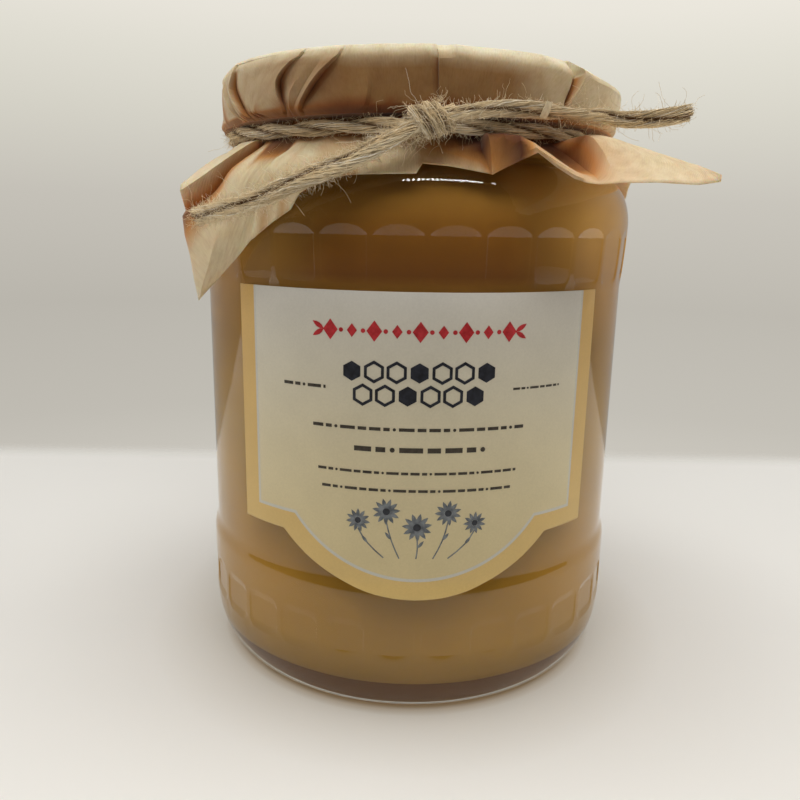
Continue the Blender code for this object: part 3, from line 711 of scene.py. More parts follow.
def glass_material():
    """Soda-lime container glass: clear, fire-polished, with the faint waves of pressing."""
    made, shader, add, spot = new_material(
        "soda_lime_glass", Roughness=0.015, IOR=1.52, Transmission_Weight=1.0, Base_Color="F4F7F0")
    # Waves about 14 mm long, one or two hundredths of a millimetre deep
    wave = add("ShaderNodeTexNoise", {"Vector": spot, "Scale": 70.0, "Detail": 1.0})
    feed(shader, Normal=add("ShaderNodeBump", {"Strength": 0.25, "Distance": 0.0004, "Height": wave}))
    return made


jar = new_object("pressed_glass", glass_mesh(), glass_material())
jar.visible_shadow = False
settle(jar, "clear_glass", "glass_jar")


# Honey
# Creamed honey, whipped until it is opaque: a smooth paste that wets the glass, so the
# piece reaches a tenth of a millimetre into the wall. Its level is just below the lid.
HONEY_LEVEL = 112.5
HONEY_GRIP = 0.1
HONEY_SIDES = 180
# How far the surface dips below its level, at shares of the way out to the bore
HONEY_DIPS = ((0.25, 0.9), (0.6, 0.8), (0.93, 0.5))


def honey_mesh():
    """The honey from its surface down the wall to the floor of the jar."""
    wall = [(BORE_RADIUS + HONEY_GRIP, HONEY_LEVEL)] + inner_wall(HONEY_GRIP, 16)
    angles = [360.0 * i / HONEY_SIDES for i in range(HONEY_SIDES)]
    surface = [(share * BORE_RADIUS, HONEY_LEVEL - dip) for share, dip in HONEY_DIPS]
    rings = [[polar(a, r, z) for a in angles] for r, z in surface + wall[:-1]]
    top = polar(0, 0, HONEY_LEVEL - HONEY_DIPS[0][1])
    return skin_of_rings("honey", rings, top, polar(0, 0, BASE_THICKNESS - HONEY_GRIP), 35)


def honey_material():
    """Creamed honey: fine crystals in amber syrup, so thick that it is opaque. Its tones by
    height are fitted to the photo, with the light and shade that lie on it there."""
    made, shader, add, spot = new_material(
        "creamed_honey", Roughness=0.5, IOR=1.49, Specular_IOR_Level=0.0, Emission_Color="FF9A2A")
    parts = add("ShaderNodeSeparateXYZ", spot).outputs
    # Painted shade by height: darkest in a band just above the label, lighter towards the shoulder and the
    # bottom
    shades = add(RAMP, add(RANGE, parts["Z"], 0.0, HONEY_LEVEL * MM), stops={
        0.0: "AE863A", 0.25: "B08538", 0.5: "B08A3E", 0.7: "A87E3C", 0.755: "9E7234", 0.785: "80522A",
        0.82: "8A5A28", 0.86: "98662A", 0.9: "AC7C38", 1.0: "B08040"})
    # Painted paler at both sides of the upper honey, for light that comes in at the shoulder
    side = add(RANGE, add(MATH, parts["X"], operation="ABSOLUTE"), 14.0 * MM, 34.0 * MM, **SOFT)
    high = add(RANGE, parts["Z"], 74.0 * MM, 97.0 * MM, 0.0, 0.92)
    side = add(MATH, side, high, operation="MULTIPLY")
    shades = add("ShaderNodeMix", {"Factor": side, "A": shades, "B": linear_colour("E2AF5E")}, **BLEND)
    # Clouds about 20 mm across where the paste is more or less finely whipped
    cloud = add("ShaderNodeTexNoise", {"Vector": spot, "Scale": 55.0, "Detail": 3.0})
    cloud = add(RANGE, cloud, 0.3, 0.7, 0.93, 1.06)
    shades = add("ShaderNodeMix", {"Factor": 1.0, "A": shades, "B": cloud}, **TINT)
    # A faint glow under the middle, in place of light that the thick base would carry there
    under = add(RANGE, parts["Z"], 5.42 * MM, 5.9 * MM, 0.036, 0.0)
    radius = add(VECTOR_MATH, spot, operation="LENGTH").outputs["Value"]
    middle = add(RANGE, radius, 36.0 * MM, 42.0 * MM, 1.0, 0.0)
    under = add(MATH, under, middle, operation="MULTIPLY")
    feed(shader, Base_Color=shades, Emission_Strength=under)
    return made


honey = new_object("creamed_honey", honey_mesh(), honey_material())
settle(honey, "honey", "honey")


# Lid
# A plain twist-off lid of gold-lacquered tinplate, which the paper hides. The CAD node
# keeps its shape and gets the lacquer.


def lid_material():
    """Tinplate under gold lacquer: a satin metal with very fine rolling lines."""
    made, shader, add, spot = new_material("gold_lacquered_tinplate", Metallic=0.9, Roughness=0.32)
    # Rolling lines a quarter of a millimetre apart, drawn far longer than wide
    lines = add("ShaderNodeMapping", {"Vector": spot, "Scale": (60.0, 4000.0, 400.0)})
    lines = add("ShaderNodeTexNoise", {"Vector": lines, "Scale": 1.0, "Detail": 2.0})
    tone = add(RAMP, lines, stops={0.0: "C9A24E", 1.0: "DDBB6A"})
    grooves = add("ShaderNodeBump", {"Strength": 0.1, "Distance": 0.0001, "Height": lines})
    feed(shader, Base_Color=tone, Normal=grooves)
    return made


LACQUER = lid_material()
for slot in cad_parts["lid"].material_slots:
    slot.material = LACQUER


# Label and its print
# One sheet of coated paper with a gold edge, stuck round the waist of the jar and lapped
# over the ledge. The panel is grey-white above and turns cream below; the print on it is
# a generic design of plain shapes.
LABEL_HALF_WIDTH = 38.4
LABEL_TOP = 85.6
LABEL_SHOULDER = 38.0
LOBE_HALF_WIDTH = 27.3
LOBE_STEPS = 44
LABEL_BOTTOM = 26.9
LABEL_GAP = 0.35
LABEL_THICKNESS = 0.4
LABEL_RADIUS = WAIST_RADIUS + LABEL_GAP
# The edge is pressed down over this width
LABEL_HEM = 0.12
PAPER_IOR = 1.5
PRINT_LIFT = 0.05
PRINT_SINK = 0.02
ORNAMENT_HEIGHT = 78.6
PRINT_PITCH = 4.1
HALF_PITCH = 2.05
PETAL_COUNT = 11
STEM_FOOT = 35.2
STEM_WIDTH = 0.26
# Outline of the panel inside the gold edge, on the label's map of 100 mm to a unit: its
# sides, its shoulders, and the middle and radius of its lobe
PANEL_SIDE = 0.338
PANEL_SHOULDER = 0.421
LOBE_MIDDLE = 0.623
LOBE_REACH = 0.316


def label_bottom(offset):
    """Lower edge of the label: straight shoulders and a round lobe in the middle."""
    if abs(offset) >= LOBE_HALF_WIDTH:
        return LABEL_SHOULDER
    drop = LABEL_SHOULDER - LABEL_BOTTOM
    lobe_radius = (LOBE_HALF_WIDTH ** 2 + drop ** 2) / (2 * drop)
    return LABEL_BOTTOM + lobe_radius - math.sqrt(lobe_radius ** 2 - offset ** 2)


def on_label(offset, height, lift):
    """A point on the label from its place along the curve and its height."""
    return polar(math.degrees(offset / LABEL_RADIUS), wall_radius(height) + LABEL_GAP + lift, height)


def mapped_face(work, uv, points):
    """A face from (vertex, its place on the flat sheet) pairs."""
    made = work.faces.new([vertex for vertex, _ in points])
    for loop, (_, place) in zip(made.loops, points):
        loop[uv].uv = place


def label_mesh():
    """The label in columns, with an outer and a glued face, closed round its edges."""
    side = [LABEL_HALF_WIDTH, LABEL_HALF_WIDTH - LABEL_HEM, 35.5, 32.7, 30.0, LOBE_HALF_WIDTH]
    lobe = [LOBE_HALF_WIDTH * (1 - 2 * i / LOBE_STEPS) for i in range(1, LOBE_STEPS)]
    work = bmesh.new()
    uv = work.loops.layers.uv.new("label_mm")
    columns = []
    for offset in [-x for x in side + lobe] + side[::-1]:
        bottom = label_bottom(offset)
        # Rows lie closer near the lower edge, which laps over the ledge
        lap_top = 42.0 if bottom > 34.0 else 34.0
        heights = [bottom, bottom + LABEL_HEM] + [bottom + (lap_top - bottom) * k / 7 for k in range(1, 8)]
        lap_top = heights[-1]
        heights += [lap_top + (LABEL_TOP - LABEL_HEM - lap_top) * k / 9 for k in range(1, 10)] + [LABEL_TOP]
        column = []
        for k, z in enumerate(heights):
            edge = abs(offset) == LABEL_HALF_WIDTH or k in (0, len(heights) - 1)
            lifts = (LABEL_THICKNESS - (0.1 if edge else 0.0), 0)
            # The outer face and the glued face share one place on the flat sheet
            place = (offset / 100 + 0.5, z / 100)
            column.append([(work.verts.new(on_label(offset, z, lift)), place) for lift in lifts])
        columns.append(column)
    for a, b in zip(columns, columns[1:]):
        for k in range(len(a) - 1):
            mapped_face(work, uv, (a[k][0], b[k][0], b[k + 1][0], a[k + 1][0]))
            mapped_face(work, uv, (a[k + 1][1], b[k + 1][1], b[k][1], a[k][1]))
        mapped_face(work, uv, (a[0][1], b[0][1], b[0][0], a[0][0]))
        mapped_face(work, uv, (a[-1][0], b[-1][0], b[-1][1], a[-1][1]))
    for k in range(len(columns[0]) - 1):
        for column, (p, q) in ((columns[0], (1, 0)), (columns[-1], (0, 1))):
            mapped_face(work, uv, (column[k][p], column[k][q], column[k + 1][q], column[k + 1][p]))
    return finished(work, "label", 40)


def label_material():
    """Coated label paper: a smooth satin print. The gold is a printed metallic ink, and a
    silver hairline parts it from the panel."""
    made, shader, add, spot = new_material("coated_label_paper", IOR=PAPER_IOR, Roughness=0.42)
    parts = add("ShaderNodeSeparateXYZ", add("ShaderNodeUVMap", uv_map="label_mm")).outputs
    across = add(MATH, parts["X"], 0.5, operation="SUBTRACT")
    height = parts["Y"]
    # How far inside the panel a point lies: off its sides, its shoulders and its lobe
    side = add(MATH, PANEL_SIDE, add(MATH, across, operation="ABSOLUTE"), operation="SUBTRACT")
    rise = add(MATH, height, PANEL_SHOULDER, operation="SUBTRACT")
    drop = add(MATH, height, LOBE_MIDDLE, operation="SUBTRACT")
    drop = add("ShaderNodeCombineXYZ", across, drop)
    drop = add(VECTOR_MATH, drop, operation="LENGTH").outputs["Value"]
    lobe = add(MATH, LOBE_REACH, drop, operation="SUBTRACT")
    inside = add(MATH, side, add(MATH, rise, lobe, operation="MAXIMUM"), operation="MINIMUM")
    # Panel from its top edge down: cool grey-white, cream, then a warmer cream in the lobe
    panel = add(RAMP, height, stops={
        0.3: "D2C192", 0.42: "D6C79C", 0.55: "D9CDAA", 0.7: "D6CFBA", 0.86: "D2CFC7"})
    gold = add(RAMP, height, stops={0.27: "D7B976", 0.85: "D4AC64"})
    field = {"Factor": add(RANGE, inside, -0.0012, 0.0012), "A": gold, "B": panel}
    field = add("ShaderNodeMix", field, **BLEND)
    hairline = add(RANGE, add(MATH, inside, operation="ABSOLUTE"), 0.0022, 0.0038, 1.0, 0.0)
    field = add("ShaderNodeMix", {"Factor": hairline, "A": field, "B": linear_colour("C9C7BE")}, **BLEND)
    # Paper grain and ink mottle: specks a third of a millimetre across, very faint
    speck = add("ShaderNodeTexNoise", {"Vector": spot, "Scale": 2600.0, "Detail": 2.0})
    cloud = add("ShaderNodeTexNoise", {"Vector": spot, "Scale": 120.0, "Detail": 2.0})
    mottle = add(RANGE, add(MATH, speck, cloud, operation="ADD"), 0.7, 1.3, 0.955, 1.035)
    shade = add("ShaderNodeMix", {"Factor": 1.0, "A": field, "B": mottle}, **TINT)
    grain = add("ShaderNodeBump", {"Strength": 0.06, "Distance": 0.00003, "Height": speck})
    feed(shader, Base_Color=shade, Normal=grain)
    return made


label = new_object("printed_label", label_mesh(), label_material())
settle(label, "label_paper", "label")


def print_mesh(name, shapes, lift=PRINT_LIFT):
    """Flat shapes of ink laid on the label. A shape is a ring of (offset, height) points."""
    work = bmesh.new()
    for ring in shapes:
        middle = (sum(p[0] for p in ring) / len(ring), sum(p[1] for p in ring) / len(ring))
        centre = work.verts.new(on_label(*middle, LABEL_THICKNESS + lift))
        edge = [work.verts.new(on_label(x, z, LABEL_THICKNESS + lift)) for x, z in ring]
        foot = [work.verts.new(on_label(x, z, LABEL_THICKNESS - PRINT_SINK)) for x, z in ring]
        base = work.verts.new(on_label(*middle, LABEL_THICKNESS - PRINT_SINK))
        for i in range(len(ring)):
            j = (i + 1) % len(ring)
            work.faces.new((centre, edge[i], edge[j]))
            work.faces.new((edge[i], foot[i], foot[j], edge[j]))
            work.faces.new((base, foot[j], foot[i]))
    bmesh.ops.recalc_face_normals(work, faces=work.faces)
    return finished(work, name)


def placed(x, z, tilt, points):
    """Points of a shape, tilted about its own start and moved to its place."""
    c, s = math.cos(tilt), math.sin(tilt)
    return [(x + a * c - b * s, z + a * s + b * c) for a, b in points]


def disc(x, z, radius, count=16, tilt=0.0):
    """A round dot, or a filled polygon with count sides."""
    turns = [2 * math.pi * i / count for i in range(count)]
    return placed(x, z, tilt, [(radius * math.cos(t), radius * math.sin(t)) for t in turns])


def leaf(x, z, length, width, tilt):
    """A pointed leaf from its foot."""
    edge = ((0, 0), (0.25, 0.8), (0.5, 1), (0.75, 0.7), (1, 0), (0.75, -0.7), (0.5, -1), (0.25, -0.8))
    return placed(x, z, tilt, [(share * length, side * width / 2) for share, side in edge])


def bar(x0, x1, z, height):
    """A dash, cut into short lengths so that it follows the curve of the label."""
    count = max(1, round((x1 - x0) / 2.2))
    pieces = []
    for i in range(count):
        a = x0 + (x1 - x0) * i / count
        b = x0 + (x1 - x0) * (i + 1) / count + (0.02 if i < count - 1 else 0.0)
        h = height / 2
        pieces.append([(a, z - h), (b, z - h), (b, z + h), (a, z + h)])
    return pieces


def hexagon_ring(x, z, radius, width):
    """A six-sided outline as six bars."""
    shapes = []
    for k in range(6):
        a, b = (math.radians(60 * k + 30 + 60 * n) for n in (0, 1))
        corners = ((a, radius), (b, radius), (b, radius - width), (a, radius - width))
        shapes.append([(x + r * math.cos(t), z + r * math.sin(t)) for t, r in corners])
    return shapes


def stem(points, width):
    """A line of one width through points, as a bar for each step."""
    shapes = []
    for (x0, z0), (x1, z1) in zip(points, points[1:]):
        length = math.hypot(x1 - x0, z1 - z0)
        nx, nz = -(z1 - z0) / length * width / 2, (x1 - x0) / length * width / 2
        shapes.append([(x0 - nx, z0 - nz), (x1 - nx, z1 - nz), (x1 + nx, z1 + nz), (x0 + nx, z0 + nz)])
    return shapes


def red_ornament():
    """A row of lozenges, leaves and dots."""
    z = ORNAMENT_HEIGHT
    shapes = []
    for i in range(-4, 5):
        x = PRINT_PITCH * i
        size = 1.9 if i % 2 == 0 else 1.25
        shapes.append([(x - size * 0.75, z), (x, z - size), (x + size * 0.75, z), (x, z + size)])
        if i < 4:
            shapes.append(disc(x + HALF_PITCH, z, 0.42, 10))
    for end in (-1, 1):
        for tilt in (0.55, -0.55):
            shapes.append(leaf(end * 17.7, z, 2.6, 0.9, tilt if end > 0 else math.pi - tilt))
    return shapes


def dark_honeycomb():
    """A short band of comb: open and filled cells."""
    shapes = []
    for i in range(-3, 4):
        for row, z in enumerate((71.2, 66.9)):
            x = PRINT_PITCH * i + (HALF_PITCH if row else 0.0)
            if abs(x) > 13.2:
                continue
            if (i + row) % 3 == 0:
                shapes.append(disc(x, z, 1.85, 6, math.radians(30)))
            else:
                shapes += hexagon_ring(x, z, 2.1, 0.62)
    return shapes


def dark_bars():
    """Rows of short dashes and dots in place of lines of print."""
    shapes = []
    for z, height, start, end in (
        (60.6, 0.62, -20.0, 20.4), (56.7, 0.95, -11.8, 11.8), (52.2, 0.5, -19.0, 19.2),
        (48.8, 0.52, -18.2, 18.2), (67.9, 0.6, -26.4, -17.4), (67.9, 0.42, 17.8, 28.6),
    ):
        x = start
        k = 0
        while x < end:
            run = height * (3.4, 1.9, 4.6, 2.6)[k % 4]
            shapes += bar(x, min(x + run, end), z, height)
            x += run + height * 0.85
            if k % 4 == 1 and x < end:
                shapes.append(disc(x + height * 0.5, z, height * 0.5, 10))
                x += height * 1.85
            k += 1
    return shapes


def flower_parts():
    """Five plain daisies on curved stems: petals, hearts and stems apart."""
    petals, hearts, stems = [], [], []
    for x, z, size, sway in (
        (-11.0, 42.5, 2.0, -0.6), (-5.6, 44.6, 2.3, -0.3), (0.2, 41.6, 2.5, 0.2), (6.0, 44.4, 2.2, 0.4),
        (11.2, 42.2, 1.9, 0.7),
    ):
        for k in range(PETAL_COUNT):
            turn = 2 * math.pi * k / PETAL_COUNT + x
            root = (x + 0.35 * math.cos(turn), z + 0.35 * math.sin(turn))
            petals.append(leaf(*root, size, size * 0.36, turn))
        hearts.append(disc(x, z, size * 0.3, 12))
        foot = 0.55 * x
        path = []
        for t in (0, 0.25, 0.5, 0.75, 1):
            bent = x + (foot - x) * t + sway * math.sin(math.pi * t)
            path.append((bent, z - size * 0.8 + (STEM_FOOT - z + size * 0.8) * t))
        stems += stem(path, STEM_WIDTH)
        stems.append(leaf(path[2][0], path[2][1], 1.9, 0.6, 0.9 if sway > 0 else math.pi - 0.9))
    return petals, hearts, stems


def ink_material(name, code, second, gloss):
    """Offset ink: thin, slightly glossier than the paper, with faint mottle in the tone."""
    made, shader, add, spot = new_material(name, Roughness=gloss, IOR=PAPER_IOR)
    speck = add("ShaderNodeTexNoise", {"Vector": spot, "Scale": 900.0, "Detail": 2.0})
    feed(shader, Base_Color=add(RAMP, speck, stops={0.3: code, 0.7: second}))
    return made


RED_INK = ink_material("red_ink", "9E1B20", "C8343A", 0.4)
NAVY_INK = ink_material("navy_ink", "14161E", "2A2D38", 0.38)
BROWN_INK = ink_material("brown_black_ink", "2A241C", "4A4236", 0.42)
GREY_INK = ink_material("blue_grey_ink", "4A4F56", "848A8E", 0.42)
flower_petals, flower_hearts, flower_stems = flower_parts()
for name, shapes, ink, lift in (
    ("print_red_ornament", red_ornament(), RED_INK, PRINT_LIFT),
    ("print_dark_comb", dark_honeycomb(), NAVY_INK, PRINT_LIFT),
    ("print_bars", dark_bars(), BROWN_INK, PRINT_LIFT),
    ("print_stems", flower_stems, GREY_INK, PRINT_LIFT - 0.02),
    ("print_petals", flower_petals, GREY_INK, PRINT_LIFT),
    ("print_hearts", flower_hearts, NAVY_INK, PRINT_LIFT + 0.02),
):
    settle(new_object(name, print_mesh(name, shapes, lift), ink), "label_paper")


# Paper cover
# One square of ribbed brown kraft paper, 134 mm on a side. It is pressed over the lid,
# gathered under the twine in sharp pleats, and its corners flare out below.
PAPER_TOP = 127.2
PAPER_SIDE = 43.6
PAPER_THICKNESS = 0.14
LID_REACH = 42.8
CINCH_RADIUS = 39.6
CINCH_TOP = 115.9
CINCH_BOTTOM = 112.1
SIDE_HEIGHTS = (125.2, 122.4, 119.6, 117.2)
# A plain side: the share of its turn and of its distance at each of SIDE_HEIGHTS
PLAIN_SIDE = ((0.15, 0.6), (0.4, 1.0), (0.7, 0.9), (0.92, 0.5))
COLUMN_STEP = 0.9
SIDE_STEPS = 14
RIM_ROWS = 6
TIE_ROWS = 5
# Rows of a fold line down to the skirt
SIDE_ROWS = RIM_ROWS + SIDE_STEPS + 1 + TIE_ROWS
SKIRT_ROWS = 24
GROOVE_WIDTH = 2.5
# Painted shade on the paper at the tie and in the deepest grooves, and in the others
DEEP_SHADE = 0.75
LESS_SHADE = 0.25
# The sheet's map holds this many units to a metre, with the middle of the sheet at 0.5
SHEET_MAP = 5
SHEET_MIDDLE = 0.5
# Rims of the folds across the front, which take deeper painted shade near the tie, and ties of the ones in
# the long flap, which take a wider painted shadow of the loop
FRONT_RIMS = (-64, 34)
FLAP_TIES = (-46, -36)
# Rings of the flat top, as shares of the way out to the rim
TOP_RINGS = (0.97, 0.93, 0.86, 0.76, 0.64, 0.5, 0.35, 0.2)


class Fold:
    """One fold line from the rim of the lid over the tie to the hem.

    side holds (angle, distance off the lid) at each of SIDE_HEIGHTS; a single number
    stands for a plain line that far off. skirt is what follows below the tie, as (angle,
    radius, height): two points are a handle and the hem, more are points on the line.
    slack is how wide a slant the paper makes at the rim, and flat is how straight it
    runs to the next line. The last argument is how much shade is painted on the paper
    below the tie: close to it, half way and at the hem.
    """

    def __init__(self, rim, side, tie, skirt, slack=0.0, flat=0.0, painted_shade=(0.0, 0.0, 0.0)):
        if isinstance(side, (int, float)):
            side = [(rim + (tie - rim) * s, side * k) for s, k in PLAIN_SIDE]
        self.rim = rim
        self.tie = tie
        self.side = side
        self.skirt = skirt
        self.slack = slack
        self.flat = flat
        self.painted_shade = painted_shade

    def turned(self, angle):
        """The same fold line further round the jar."""
        side = [(turn + angle, out) for turn, out in self.side]
        skirt = [(turn + angle, radius, height) for turn, radius, height in self.skirt]
        return Fold(self.rim + angle, side, self.tie + angle, skirt, self.slack, self.flat, self.painted_shade)


